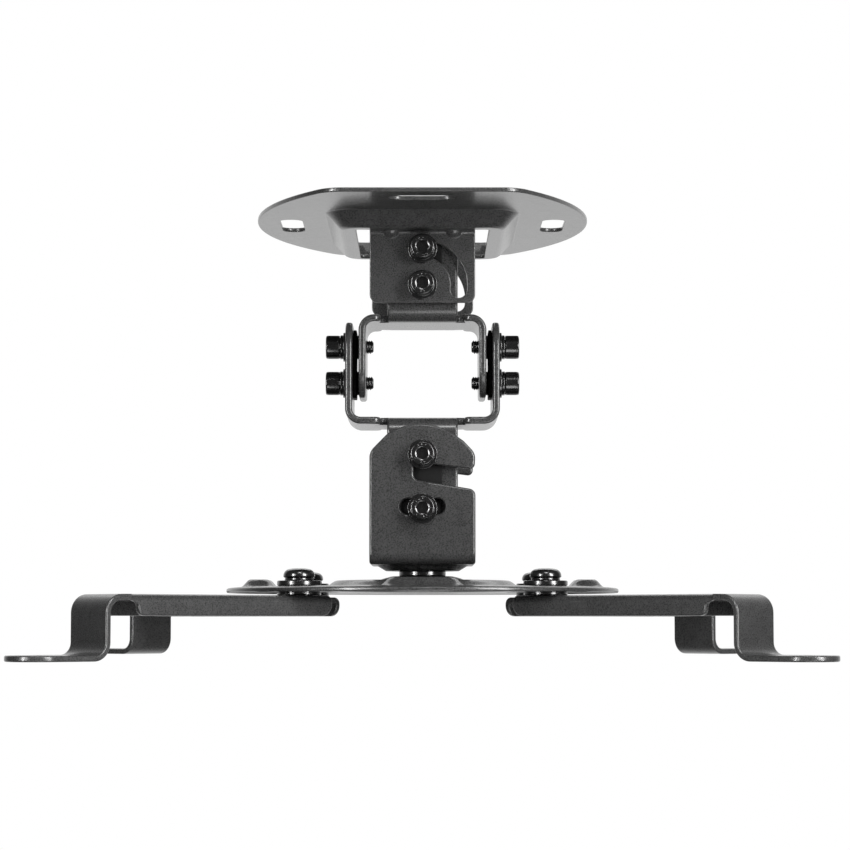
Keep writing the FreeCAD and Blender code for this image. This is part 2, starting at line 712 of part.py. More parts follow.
def swivel_bolt():
    """Thin broad head under the spider, plain shank up through the dish, thread under the nut."""
    head_top = PLATEAU_UNDER_Z - RUN_GAP
    head_under = head_top - SWIVEL_HEAD_T
    dish_floor = HOOK_BOTTOM_Z + LINK_SHEET - DISH_DEPTH
    tip = dish_floor + SWIVEL_WASHER_T + SWIVEL_NUT_T + SWIVEL_TIP
    head = cylinder(SWIVEL_HEAD_D / 2, Vector(0, 0, head_under), Vector(0, 0, head_top))
    shank = cylinder(SWIVEL_D / 2, Vector(0, 0, head_under), Vector(0, 0, tip))
    return fused([head, shank])


def swivel_neck():
    """The bush that shows between the dish and the disc."""
    return ring(NECK_D, SWIVEL_D + 2 * TAP_GAP, Vector(0, 0, NECK_END_Z), Vector(0, 0, DISH_UNDER_Z))


def swivel_disc():
    """A domed disc that spreads the load on the plateau; it turns with the spider."""
    bore = SWIVEL_D / 2 + BORE_GAP
    profile = [
        (bore, PLATEAU_TOP_Z, 0),
        (DISC_D / 2, PLATEAU_TOP_Z, 0),
        (DISC_D / 2, PLATEAU_TOP_Z + DISC_EDGE_T, 0.3),
        (DISC_CROWN_D / 2, DISC_TOP_Z, 3.0),
        (bore, DISC_TOP_Z, 0),
    ]
    return turned(profile)


def swivel_washer():
    """Under the nut, on the floor of the dish."""
    low = Vector(0, 0, HOOK_BOTTOM_Z + LINK_SHEET - DISH_DEPTH)
    return ring(SWIVEL_WASHER_D, SWIVEL_D + 2 * TAP_GAP, low, low + Z_AXIS * SWIVEL_WASHER_T)


def lock_nut(across, bore, low, high, collar_way):
    """A hexagon nut with a round nylon collar on one side."""
    height = (high - low).Length
    collar = height * COLLAR_SHARE
    collar_r = across * COLLAR_RADIUS_SHARE
    if collar_way > 0:
        body = hexagon(across, low, high - Z_AXIS * collar)
        top = cylinder(collar_r, low + Z_AXIS * (height / 2), high)
    else:
        body = hexagon(across, low + Z_AXIS * collar, high)
        top = cylinder(collar_r, low, low + Z_AXIS * (height / 2))
    nut = fused([body, top])
    return nut.cut(cylinder(bore / 2, low - Z_AXIS, high + Z_AXIS))


def swivel_nut():
    """Holds the swivel bolt inside the hook box."""
    low = HOOK_BOTTOM_Z + LINK_SHEET - DISH_DEPTH + SWIVEL_WASHER_T
    return lock_nut(
        SWIVEL_NUT_ACROSS, SWIVEL_D + 2 * TAP_GAP, Vector(0, 0, low), Vector(0, 0, low + SWIVEL_NUT_T), 1
    )


def ridge(width, z0, z1, angle):
    """One curved bar about the middle of the disc, round at both ends."""
    half = RIDGE_SWEEP / 2
    wire = arc_outline(RIDGE_RADIUS, width, angle - half, angle + half, lambda p: Vector(p.x, p.y, z0))
    return Part.Face(wire).extrude(Vector(0, 0, z1 - z0))


def spider_disc():
    """A round disc with a pressed plateau, four curved ridges and the arms' screw holes."""
    flat = SPIDER_R - SPIDER_RIM
    disc = turned([
        (0, PLATEAU_TOP_Z, 0),
        (PLATEAU_TOP_R, PLATEAU_TOP_Z, 3.0),
        (PLATEAU_BASE_R, SPIDER_TOP_Z, 1.5),
        (flat, SPIDER_TOP_Z, SPIDER_RIM_BEND),
        (SPIDER_R, SPIDER_TOP_Z - SPIDER_DROOP, 0.4),
        (SPIDER_R, SPIDER_UNDER_Z - SPIDER_DROOP, 0.4),
        (flat, SPIDER_UNDER_Z, SPIDER_RIM_BEND),
        (PLATEAU_BASE_R - PLATE_SHEET / 2, SPIDER_UNDER_Z, 3.0),
        (PLATEAU_TOP_R - PLATE_SHEET / 2, PLATEAU_UNDER_Z, 1.5),
        (0, PLATEAU_UNDER_Z, 0),
    ])
    for angle in (0, 90, 180, 270):
        bar = ridge(RIDGE_WIDTH, SPIDER_UNDER_Z + 0.5, SPIDER_TOP_Z + RIDGE_RISE, angle)
        crest = level_edges(bar, SPIDER_TOP_Z + RIDGE_RISE, lambda box: True)
        bar = bar.makeFillet(RIDGE_SOFT, crest)
        disc = disc.fuse(bar)
    for angle in (0, 90, 180, 270):
        hollow = RIDGE_WIDTH - 2 * PLATE_SHEET
        disc = disc.cut(ridge(hollow, SPIDER_UNDER_Z - 1, SPIDER_UNDER_Z + RIDGE_SOFT, angle))
    under = Vector(0, 0, SPIDER_UNDER_Z)
    disc = disc.cut(cylinder(SWIVEL_D / 2 + BORE_GAP, under, Vector(0, 0, PLATEAU_TOP_Z + 1)))
    for spot in arm_spots():
        low = spot + Z_AXIS * (SPIDER_UNDER_Z - 1)
        disc = disc.cut(cylinder(CLAMP_THREAD_D / 2 + BORE_GAP, low, low + Z_AXIS * (PLATE_SHEET + 2)))
    return disc.removeSplitter()


# Arms and their clamps

ARM_TOP_Z = SPIDER_UNDER_Z - CLAMP_LOWER_T - 2 * RUN_GAP
ARM_NAMES = ("front_left", "front_right", "rear_left", "rear_right")


def arm_heading(name):
    """The compass angle of one arm, in degrees from +X."""
    headings = {
        "front_left": 180 + ARM_ANGLE,
        "front_right": -ARM_ANGLE,
        "rear_left": 180 - ARM_ANGLE,
        "rear_right": ARM_ANGLE,
    }
    return headings[name]


def arm_spots():
    """The four screw centres, at level zero."""
    spots = []
    for name in ARM_NAMES:
        angle = math.radians(arm_heading(name))
        spots.append(Vector(ARM_SCREW_RADIUS * math.cos(angle), ARM_SCREW_RADIUS * math.sin(angle), 0))
    return spots


def arm():
    """One arm along +X: a skirted channel, a leg and a round foot, folded from one strip."""
    sheet = ARM_SHEET
    top = ARM_TOP_Z
    foot_top = top - ARM_DROP
    tip = FOOT_HOLE_RADIUS + ARM_HALF_WIDTH
    side = [
        (ARM_INNER_END, top, 0),
        (ARM_LEG_RADIUS, top, ARM_BEND + sheet),
        (ARM_LEG_RADIUS, foot_top, ARM_BEND),
        (tip, foot_top, 0),
        (tip, foot_top - sheet, 0),
        (ARM_LEG_RADIUS - sheet, foot_top - sheet, ARM_BEND + sheet),
        (ARM_LEG_RADIUS - sheet, top - sheet, ARM_BEND),
        (ARM_INNER_END, top - sheet, 0),
    ]
    strip = prism_xz(side, -ARM_HALF_WIDTH, ARM_HALF_WIDTH)
    low = foot_top - sheet - 1
    plan = [
        (ARM_INNER_END, -ARM_HALF_WIDTH, 0),
        (tip, -ARM_HALF_WIDTH, ARM_HALF_WIDTH - 0.05),
        (tip, ARM_HALF_WIDTH, ARM_HALF_WIDTH - 0.05),
        (ARM_INNER_END, ARM_HALF_WIDTH, 0),
    ]
    strip = strip.common(prism_xy(plan, low, top + 1))
    side = ARM_HALF_WIDTH + 1
    strip = strip.cut(block(ARM_INNER_END - 1, ARM_SKIRT_END, -side, side, low, top + 1))
    section = channel(ARM_HALF_WIDTH, top, top - ARM_SKIRT_HEIGHT, sheet, ARM_FOLD_OUT - sheet)
    skirted = prism_yz(section, ARM_INNER_END, ARM_SKIRT_END)
    sweep = ARM_SKIRT_RUNOUT / 2
    outline = [
        (ARM_INNER_END, top, 0),
        (ARM_INNER_END, top - ARM_SKIRT_HEIGHT, ARM_SKIRT_CORNER),
        (ARM_SKIRT_END - sweep, top - ARM_SKIRT_HEIGHT, sweep - 0.3),
        (ARM_SKIRT_END - sweep, top - sheet, sweep - 0.4),
        (ARM_SKIRT_END, top - sheet, 0),
        (ARM_SKIRT_END, top, 0),
    ]
    skirted = skirted.common(prism_xz(outline, -side, side))
    body = fused([strip, skirted])
    half = CLAMP_D / 2 + ARM_SLOT_SPARE
    slot = rectangle(
        ARM_SCREW_RADIUS - half, ARM_SCREW_RADIUS + ARM_TRAVEL + half, -half, half, half - 0.01
    )
    body = body.cut(prism_xy(slot, top - sheet - 1, top + 1))
    foot = Vector(FOOT_HOLE_RADIUS, 0, foot_top - sheet - 1)
    return body.cut(cylinder(FOOT_HOLE_D / 2, foot, foot + Z_AXIS * (sheet + 2)))


def domed_head(under):
    """The head of a clamp screw on the drop axis: a dome that draws in again under its widest level."""
    radius = CLAMP_HEAD_D / 2
    wide = under + CLAMP_HEAD_LIP
    centre = wide - math.sqrt(CLAMP_HEAD_BALL ** 2 - radius ** 2)
    top = under + CLAMP_HEAD_HEIGHT
    ball = Part.makeSphere(CLAMP_HEAD_BALL, Vector(0, 0, centre))
    dome = ball.common(cylinder(radius, Vector(0, 0, wide), Vector(0, 0, top)))
    lip = Part.makeCone(radius - CLAMP_HEAD_LIP, radius, CLAMP_HEAD_LIP, Vector(0, 0, under))
    return dome.fuse(lip).removeSplitter()


def clamp_pieces(spot):
    """Everything that clamps one arm: screw, three washers and nut, from the top down."""
    head_under = SPIDER_TOP_Z + RUN_GAP + CLAMP_WASHER_T + CLAMP_SPRING_T
    bore = CLAMP_THREAD_D + 2 * TAP_GAP

    def at(z):
        return spot + Z_AXIS * z

    on_disc = SPIDER_TOP_Z + RUN_GAP
    on_arm = ARM_TOP_Z + RUN_GAP
    washer = ring(CLAMP_WASHER_D, bore, at(on_disc), at(on_disc + CLAMP_WASHER_T))
    spring = spring_ring(CLAMP_SPRING_D, bore, at(on_disc + CLAMP_WASHER_T), at(head_under), X_AXIS)
    lower = ring(CLAMP_WASHER_D, bore, at(on_arm), at(on_arm + CLAMP_LOWER_T))
    nut_top = ARM_TOP_Z - ARM_SHEET - RUN_GAP
    nut = lock_nut(CLAMP_NUT_ACROSS, bore, at(nut_top - CLAMP_NUT_T), at(nut_top), -1)
    head_top = head_under + CLAMP_HEAD_HEIGHT
    socket_floor = head_top - CLAMP_SOCKET_DEPTH
    head = domed_head(head_under)
    head = head.cut(hexagon(CLAMP_SOCKET_ACROSS, Vector(0, 0, socket_floor), Vector(0, 0, head_top + 1)))
    head.translate(spot)
    shank = cylinder(CLAMP_THREAD_D / 2, at(nut_top - CLAMP_NUT_T), at(head_under + 0.3))
    screw = fused([head, shank])
    return {"screw": screw, "top_washer": washer, "spring_washer": spring, "under_washer": lower, "nut": nut}


# The build, from the ceiling down

def build_sheet_pieces():
    """The folded and pressed sheets of the drop."""
    write("ceiling_plate", ceiling_plate())
    write("upper_link", upper_link())
    write("lower_link", lower_link())
    write("hook_box", hook_box())
    write("spider_disc", spider_disc())


def build_front_joint(name, face, pivot_z, lock_z):
    """Screws, washers and pads of a joint whose screws stand on the front and the rear."""
    screws, springs, flats = joint_fasteners(face, Y_AXIS, [Vector(0, 0, pivot_z), Vector(0, 0, lock_z)])
    write(name + "_pivot_screws", Part.makeCompound([screws[0], mirrored_y(screws[0])]))
    write(name + "_lock_screws", Part.makeCompound([screws[1], mirrored_y(screws[1])]))
    write(name + "_spring_washers", Part.makeCompound(springs + [mirrored_y(piece) for piece in springs]))
    write(name + "_flat_washers", Part.makeCompound(flats + [mirrored_y(piece) for piece in flats]))
    pad = joint_pad(LINK_HALF_DEPTH, max(pivot_z, lock_z), min(pivot_z, lock_z))
    write(name + "_pads", Part.makeCompound([pad, mirrored_y(pad)]))


def build_side_joint():
    """The tilt joint: its screws stand on the left and the right."""
    centres = [Vector(0, 0, TILT_PIVOT_Z), Vector(0, 0, TILT_LOCK_Z)]
    screws, springs, flats = joint_fasteners(LOWER_HALF_WIDTH, X_AXIS, centres)
    write("tilt_pivot_screws", Part.makeCompound([screws[0], mirrored_x(screws[0])]))
    write("tilt_lock_screws", Part.makeCompound([screws[1], mirrored_x(screws[1])]))
    write("tilt_spring_washers", Part.makeCompound(springs + [mirrored_x(piece) for piece in springs]))
    write("tilt_flat_washers", Part.makeCompound(flats + [mirrored_x(piece) for piece in flats]))
    pad = joint_pad(UPPER_HALF_WIDTH, TILT_PIVOT_Z, TILT_LOCK_Z)
    pad.rotate(ORIGIN, Z_AXIS, -90)
    write("tilt_pads", Part.makeCompound([pad, mirrored_x(pad)]))


def build_swivel():
    """Bolt, bush, disc, washer and nut on the drop axis."""
    write("swivel_bolt", swivel_bolt())
    write("swivel_neck", swivel_neck())
    write("swivel_disc", swivel_disc())
    write("swivel_washer", swivel_washer())
    write("swivel_nut", swivel_nut())


def build_arms():
    """Four arms and the clamp of each."""
    blank = arm()
    for name, spot in zip(ARM_NAMES, arm_spots()):
        piece = blank.copy()
        piece.rotate(ORIGIN, Z_AXIS, arm_heading(name))
        write(name + "_arm", piece)
        for part_name, solid in clamp_pieces(spot).items():
            write(name + "_" + part_name, solid)


build_sheet_pieces()
ear_face = LINK_HALF_DEPTH + JOINT_GAP + PLATE_SHEET
hook_face = LINK_HALF_DEPTH + JOINT_GAP + LINK_SHEET
build_front_joint("roll", ear_face, ROLL_PIVOT_Z, ROLL_LOCK_Z)
build_side_joint()
build_front_joint("hook", hook_face, HOOK_PIVOT_Z, HOOK_LOCK_Z)
build_swivel()
build_arms()
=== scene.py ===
# %% [markdown]
# # A projector ceiling mount, dressed for its picture
#
# The real object is a stack of folded steel sheets that hangs from a ceiling: a pressed plate,
# two cross links that tilt and roll, a hook box, a swivelling disc and four arms. All of it is
# black. A black object is shown by its edges and its gloss, so this lesson spends its effort on
# rounded edges, on the grain of powder coat, on the screws, and on the lamps that they reflect.

import json
import math

import bmesh
import bpy
from mathutils import Matrix, Vector
from mathutils.bvhtree import BVHTree

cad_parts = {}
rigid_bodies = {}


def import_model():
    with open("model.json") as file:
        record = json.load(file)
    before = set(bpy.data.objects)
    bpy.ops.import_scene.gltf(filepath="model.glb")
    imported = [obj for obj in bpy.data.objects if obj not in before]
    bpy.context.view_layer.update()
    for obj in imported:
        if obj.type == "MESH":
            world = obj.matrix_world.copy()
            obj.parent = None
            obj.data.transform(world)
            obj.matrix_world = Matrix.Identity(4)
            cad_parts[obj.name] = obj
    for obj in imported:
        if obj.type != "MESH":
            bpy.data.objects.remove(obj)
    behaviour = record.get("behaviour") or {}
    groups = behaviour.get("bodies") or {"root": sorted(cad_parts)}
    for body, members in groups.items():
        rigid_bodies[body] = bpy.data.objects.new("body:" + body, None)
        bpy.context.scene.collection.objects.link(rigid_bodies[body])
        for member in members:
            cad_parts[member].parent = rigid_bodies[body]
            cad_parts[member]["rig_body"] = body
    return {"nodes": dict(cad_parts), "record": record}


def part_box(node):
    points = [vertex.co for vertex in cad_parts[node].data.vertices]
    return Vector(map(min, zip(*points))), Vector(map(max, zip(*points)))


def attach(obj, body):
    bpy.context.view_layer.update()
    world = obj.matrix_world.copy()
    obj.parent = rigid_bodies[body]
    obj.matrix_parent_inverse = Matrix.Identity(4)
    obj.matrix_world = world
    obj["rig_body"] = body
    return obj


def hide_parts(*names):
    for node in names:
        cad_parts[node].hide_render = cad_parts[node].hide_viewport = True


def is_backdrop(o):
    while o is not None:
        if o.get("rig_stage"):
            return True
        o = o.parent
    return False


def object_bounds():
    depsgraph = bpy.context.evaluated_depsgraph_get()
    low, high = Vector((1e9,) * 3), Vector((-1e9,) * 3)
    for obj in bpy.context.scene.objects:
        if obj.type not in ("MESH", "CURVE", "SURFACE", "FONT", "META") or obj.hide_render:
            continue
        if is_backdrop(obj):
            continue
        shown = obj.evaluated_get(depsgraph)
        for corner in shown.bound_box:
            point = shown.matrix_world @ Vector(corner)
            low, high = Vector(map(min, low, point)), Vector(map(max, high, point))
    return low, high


for leftover in list(bpy.data.objects):
    bpy.data.objects.remove(leftover)
bpy.context.scene.view_settings.view_transform = "Standard"
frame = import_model()
cad_low, cad_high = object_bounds()
record = frame["record"]
MM = 0.001
print("nodes", len(frame["nodes"]), "size in mm", [round(v / MM, 1) for v in cad_high - cad_low])

# %% [markdown]
# ## The camera
#
# The photograph was taken with a long lens from the height of the arms, looking up by a few
# degrees, so the ceiling plate shows its underside and the arms show their sides. The focal
# length comes from how much smaller the rear arms look than the front ones.

# %% Camera
LENS = 111.5
SENSOR = 36.0
DISTANCE = 0.9377
EYE_LEVEL = -0.1438
EYE_X = 0.0009
PITCH = math.radians(4.246)

lens = bpy.data.cameras.new("camera")
lens.lens = LENS
lens.sensor_width = SENSOR
lens.clip_end = 50.0
camera = bpy.data.objects.new("camera", lens)
camera.location = (EYE_X, -DISTANCE, EYE_LEVEL)
camera.rotation_euler = (math.pi / 2 + PITCH, 0.0, 0.0)
bpy.context.scene.collection.objects.link(camera)
bpy.context.scene.camera = camera
print("camera", LENS, "mm at", DISTANCE, "m")

# %% [markdown]
# ## A room with a pale floor
#
# The mount hangs high above a plain floor. Floor and world are white where the camera or a
# reflection looks at them, which the Light Path node tells. For the light that falls on the
# object, the world is a dim even sky and the floor a pale paint, so a colour renders about as
# it is written. Beside and behind the camera the room is dim, and only reflections see that: it
# is what makes a gloss look black. Its level depends on how far a mirrored ray points away from
# the camera, from -1 (back at it) to 1 (on past the object).

# %% Floor and world
FLOOR_DROP = 1.4
FLOOR_HALF = 14.0
FLOOR_TONE = (0.8, 0.8, 0.8, 1.0)
FLOOR_ROUGHNESS = 0.9
AMBIENT = 0.2
ROOM_BEHIND = 0.1
DIM_UP_TO = 0.3
WHITE_FROM = 0.9
WHITE = (1.0, 1.0, 1.0, 1.0)


def seen_or_mirrored(nodes, links):
    """1 for rays from the camera, a reflection or a clear pane, 0 for the light that is cast."""
    path = nodes.new("ShaderNodeLightPath")
    first = nodes.new("ShaderNodeMath")
    first.operation = "MAXIMUM"
    second = nodes.new("ShaderNodeMath")
    second.operation = "MAXIMUM"
    links.new(path.outputs["Is Camera Ray"], first.inputs[0])
    links.new(path.outputs["Is Glossy Ray"], first.inputs[1])
    links.new(first.outputs[0], second.inputs[0])
    links.new(path.outputs["Is Transmission Ray"], second.inputs[1])
    return second.outputs[0]


def backdrop_level(nodes, links, way, sign):
    """1 for the camera; in a reflection it falls to the dim room beside and behind the camera.

    The way is the ray's direction, with the sign that makes its Y point away from the camera.
    """
    parts = nodes.new("ShaderNodeSeparateXYZ")
    fall = nodes.new("ShaderNodeMapRange")
    fall.interpolation_type = "SMOOTHSTEP"
    fall.inputs["From Min"].default_value = DIM_UP_TO * sign
    fall.inputs["From Max"].default_value = WHITE_FROM * sign
    fall.inputs["To Min"].default_value = ROOM_BEHIND
    fall.inputs["To Max"].default_value = 1.0
    path = nodes.new("ShaderNodeLightPath")
    level = nodes.new("ShaderNodeMath")
    level.operation = "MAXIMUM"
    links.new(way, parts.inputs["Vector"])
    links.new(parts.outputs["Y"], fall.inputs["Value"])
    links.new(fall.outputs["Result"], level.inputs[0])
    links.new(path.outputs["Is Camera Ray"], level.inputs[1])
    return level.outputs[0]


def white_world():
    """White to look at, an even dim sky for the light that it casts."""
    world = bpy.data.worlds.new("studio")
    bpy.context.scene.world = world
    world.use_nodes = True
    nodes = world.node_tree.nodes
    links = world.node_tree.links
    nodes.clear()
    sky = nodes.new("ShaderNodeBackground")
    sky.inputs["Color"].default_value = WHITE
    sky.inputs["Strength"].default_value = AMBIENT
    backdrop = nodes.new("ShaderNodeBackground")
    backdrop.inputs["Color"].default_value = WHITE
    mix = nodes.new("ShaderNodeMixShader")
    out = nodes.new("ShaderNodeOutputWorld")
    way = nodes.new("ShaderNodeTexCoord").outputs["Generated"]
    links.new(backdrop_level(nodes, links, way, 1.0), backdrop.inputs["Strength"])
    links.new(seen_or_mirrored(nodes, links), mix.inputs["Fac"])
    links.new(sky.outputs[0], mix.inputs[1])
    links.new(backdrop.outputs[0], mix.inputs[2])
    links.new(mix.outputs[0], out.inputs["Surface"])


def pale_floor():
    """A plain floor far below; where it only lights, it is paint and keeps the object's shadow."""
    bm = bmesh.new()
    place = Matrix.Translation((0.0, 0.0, cad_low.z - FLOOR_DROP))
    bmesh.ops.create_grid(bm, x_segments=1, y_segments=1, size=FLOOR_HALF, matrix=place)
    mesh = bpy.data.meshes.new("floor")
    bm.to_mesh(mesh)
    bm.free()
    floor = bpy.data.objects.new("floor", mesh)
    bpy.context.scene.collection.objects.link(floor)
    paint = bpy.data.materials.new("floor_paint")
    paint.use_nodes = True
    nodes = paint.node_tree.nodes
    links = paint.node_tree.links
    surface = nodes["Principled BSDF"]
    surface.inputs["Base Color"].default_value = FLOOR_TONE
    surface.inputs["Roughness"].default_value = FLOOR_ROUGHNESS
    glow = nodes.new("ShaderNodeEmission")
    way = nodes.new("ShaderNodeNewGeometry").outputs["Incoming"]
    links.new(backdrop_level(nodes, links, way, -1.0), glow.inputs["Strength"])
    mix = nodes.new("ShaderNodeMixShader")
    links.new(seen_or_mirrored(nodes, links), mix.inputs["Fac"])
    links.new(surface.outputs[0], mix.inputs[1])
    links.new(glow.outputs[0], mix.inputs[2])
    links.new(mix.outputs[0], nodes["Material Output"].inputs["Surface"])
    mesh.materials.append(paint)
    floor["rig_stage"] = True


white_world()
pale_floor()
print("world", bpy.context.scene.world.name, "and floor", FLOOR_DROP, "m below")

# %% [markdown]
# ## The lamps
#
# The key is a tall lamp on the right. A weak one on the left, one above and one below the camera
# reach the faces that it leaves dark, and a wide low one behind draws the far edges. Two upright
# strips light nothing: only reflections see them, and they give the screws their bright lines.

# %% Lamps
def soft_lamp(name, place, width, height, watts, only_mirrored=False):
    """A rectangular lamp that looks at the middle of the mount; the camera never sees it."""
    lamp = bpy.data.lights.new(name, "AREA")
    lamp.shape = "RECTANGLE"
    lamp.size = width
    lamp.size_y = height
    lamp.energy = watts
    holder = bpy.data.objects.new(name, lamp)
    target = (cad_low + cad_high) / 2
    holder.location = place
    holder.rotation_euler = (target - Vector(place)).to_track_quat("-Z", "Y").to_euler()
    holder.visible_diffuse = not only_mirrored
    holder.visible_camera = False
    bpy.context.scene.collection.objects.link(holder)


soft_lamp("right_key", (0.85, -1.1, 0.3), 0.35, 1.0, 17.0)
soft_lamp("left_fill", (-0.75, -1.2, 0.1), 0.15, 0.8, 3.0)
soft_lamp("high_front", (0.1, -1.0, 1.0), 0.4, 0.25, 5.0)
soft_lamp("low_front", (0.35, -0.9, -0.9), 0.8, 0.5, 5.0)
soft_lamp("high_back", (0.0, 1.0, 0.8), 1.4, 0.3, 2.5)
soft_lamp("right_strip", (0.95, -0.9, 0.0), 0.12, 0.9, 9.0, only_mirrored=True)
soft_lamp("left_strip", (-0.85, -0.95, 0.0), 0.12, 0.9, 13.0, only_mirrored=True)

# %% [markdown]
# ## Finishes
#
# Three finishes cover the object. The sheets have a satin powder coat, whose melted grains leave
# a fine orange peel. The screws and washers are glossy black steel, a little mottled by oil and
# handling. The pads are a dull plastic. One group gives the grain that all three share, at their
# own scale: a fine one for height and tone, and a broad mottle for the tone alone.

# %% The grain group
FINE_SHARE = 0.85
BROAD_SHARE = 0.15


def grain_group():
    """Height and tone of a fine grain, from Object coordinates."""
    group = bpy.data.node_groups.new("fine_grain", "ShaderNodeTree")
    face = group.interface
    face.new_socket(name="Grains per Metre", in_out="INPUT", socket_type="NodeSocketFloat")
    face.new_socket(name="Mottle per Metre", in_out="INPUT", socket_type="NodeSocketFloat")
    face.new_socket(name="Height", in_out="OUTPUT", socket_type="NodeSocketFloat")
    face.new_socket(name="Tone", in_out="OUTPUT", socket_type="NodeSocketFloat")
    nodes = group.nodes
    links = group.links
    given = nodes.new("NodeGroupInput")
    made = nodes.new("NodeGroupOutput")
    where = nodes.new("ShaderNodeTexCoord")
    fine = nodes.new("ShaderNodeTexNoise")
    fine.inputs["Detail"].default_value = 2.0
    fine.inputs["Roughness"].default_value = 0.6
    peel = nodes.new("ShaderNodeTexVoronoi")
    peel.feature = "SMOOTH_F1"
    broad = nodes.new("ShaderNodeTexNoise")
    broad.inputs["Detail"].default_value = 3.0
    both = nodes.new("ShaderNodeMath")
    both.operation = "ADD"
    for texture, socket in (
        (fine, "Grains per Metre"),
        (peel, "Grains per Metre"),
        (broad, "Mottle per Metre"),
    ):
        links.new(where.outputs["Object"], texture.inputs["Vector"])
        links.new(given.outputs[socket], texture.inputs["Scale"])
    links.new(fine.outputs["Fac"], both.inputs[0])
    links.new(peel.outputs["Distance"], both.inputs[1])
    links.new(both.outputs[0], made.inputs["Height"])
    tone = nodes.new("ShaderNodeMath")
    tone.operation = "MULTIPLY_ADD"
    tone.inputs[1].default_value = FINE_SHARE
    links.new(fine.outputs["Fac"], tone.inputs[0])
    share = nodes.new("ShaderNodeMath")
    share.operation = "MULTIPLY"
    share.inputs[1].default_value = BROAD_SHARE
    links.new(broad.outputs["Fac"], share.inputs[0])
    links.new(share.outputs[0], tone.inputs[2])
    links.new(tone.outputs[0], made.inputs["Tone"])
    return group


GRAIN = grain_group()


# %% A finish from its numbers
DARK_BELOW, PALE_ABOVE = 0.35, 0.65
SMOOTH_BELOW, ROUGH_ABOVE = 0.3, 0.7
COAT_ROUGHNESS = 0.12


def finish(name, dark, pale, rough, grains, mottle, depth, mirror, coat=0.0):
    """A black finish: two near tones, a range of roughness, a grain with its depth, its mirror."""
    material = bpy.data.materials.new(name)
    material.use_nodes = True
    nodes = material.node_tree.nodes
    links = material.node_tree.links
    surface = nodes["Principled BSDF"]
    grain = nodes.new("ShaderNodeGroup")
    grain.node_tree = GRAIN
    grain.inputs["Grains per Metre"].default_value = grains
    grain.inputs["Mottle per Metre"].default_value = mottle
    colours = nodes.new("ShaderNodeValToRGB")
    colours.color_ramp.elements[0].position = DARK_BELOW
    colours.color_ramp.elements[0].color = (dark, dark, dark, 1.0)
    colours.color_ramp.elements[1].position = PALE_ABOVE
    colours.color_ramp.elements[1].color = (pale, pale, pale, 1.0)
    gloss = nodes.new("ShaderNodeMapRange")
    gloss.inputs["From Min"].default_value = SMOOTH_BELOW
    gloss.inputs["From Max"].default_value = ROUGH_ABOVE
    gloss.inputs["To Min"].default_value = rough[0]
    gloss.inputs["To Max"].default_value = rough[1]
    bump = nodes.new("ShaderNodeBump")
    bump.inputs["Strength"].default_value = 1.0
    bump.inputs["Distance"].default_value = depth
    links.new(grain.outputs["Tone"], colours.inputs["Fac"])
    links.new(colours.outputs["Color"], surface.inputs["Base Color"])
    links.new(grain.outputs["Tone"], gloss.inputs["Value"])
    links.new(gloss.outputs["Result"], surface.inputs["Roughness"])
    links.new(grain.outputs["Height"], bump.inputs["Height"])
    links.new(bump.outputs["Normal"], surface.inputs["Normal"])
    surface.inputs["Specular IOR Level"].default_value = mirror
    surface.inputs["Coat Weight"].default_value = coat
    surface.inputs["Coat Roughness"].default_value = COAT_ROUGHNESS
    return material


FINISHES = {
    "powder_coat": finish(
        "powder_coat", dark=0.028, pale=0.076, rough=(0.22, 0.36), grains=2600.0, mottle=260.0,
        depth=0.000010, mirror=0.5, coat=0.25,
    ),
    "black_steel": finish(
        "black_steel", dark=0.003, pale=0.007, rough=(0.18, 0.26), grains=2600.0, mottle=900.0,
        depth=0.000001, mirror=0.9, coat=0.3,
    ),
    "pad_plastic": finish(
        "pad_plastic", dark=0.004, pale=0.008, rough=(0.5, 0.65), grains=2400.0, mottle=700.0,
        depth=0.000006, mirror=0.15,
    ),
}
print("finishes", list(FINISHES))


# %% [markdown]
# ## Softened sheets
#
# The measured sheets have sharp edges. Real ones are deburred, tumbled and coated, and that
# rounding is what catches the light. Each sheet is copied, its loose triangles are merged into
# clean faces, and every sharp edge gets a small bevel. Weighted normals keep the flats flat.
# Angles are in degrees.

# %% Helpers for meshes
CRISP_FROM = 50.0
FLAT_WEIGHT = 60
FLAT_UP_TO = 0.3
SAME_POINT = 0.002 * MM
SHORTEST_EDGE = 0.1 * MM
STRAY_SHARE = 0.4
SHARP_FROM = 60.0


def keep(name, bm, finish_name, *stands_for):
    """Makes the object of a finished mesh, ties it to its nodes and gives its finish."""
    mesh = bpy.data.meshes.new(name)
    bm.to_mesh(mesh)
    bm.free()
    mesh.materials.append(FINISHES[finish_name])
    for polygon in mesh.polygons:
        polygon.use_smooth = True
    mesh.set_sharp_from_angle(angle=math.radians(CRISP_FROM))
    piece = bpy.data.objects.new(name, mesh)
    bpy.context.scene.collection.objects.link(piece)
    flats = piece.modifiers.new("flat faces stay flat", "WEIGHTED_NORMAL")
    flats.weight = FLAT_WEIGHT
    flats.keep_sharp = True
    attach(piece, frame["nodes"][stands_for[0]]["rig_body"])
    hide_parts(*stands_for)
    return piece


def clean_copy(node):
    """The node's triangles merged into one clean skin, in a new bmesh.

    Corners smaller than a bevel are drawn to one point, so that the bevel doesn't cross itself.
    """
    bm = bmesh.new()
    bm.from_mesh(frame["nodes"][node].data)
    bmesh.ops.remove_doubles(bm, verts=bm.verts, dist=SAME_POINT)
    flat = math.radians(FLAT_UP_TO)
    bmesh.ops.dissolve_limit(bm, angle_limit=flat, verts=bm.verts, edges=bm.edges)
    bmesh.ops.dissolve_degenerate(bm, dist=SHORTEST_EDGE, edges=bm.edges)
    return bm


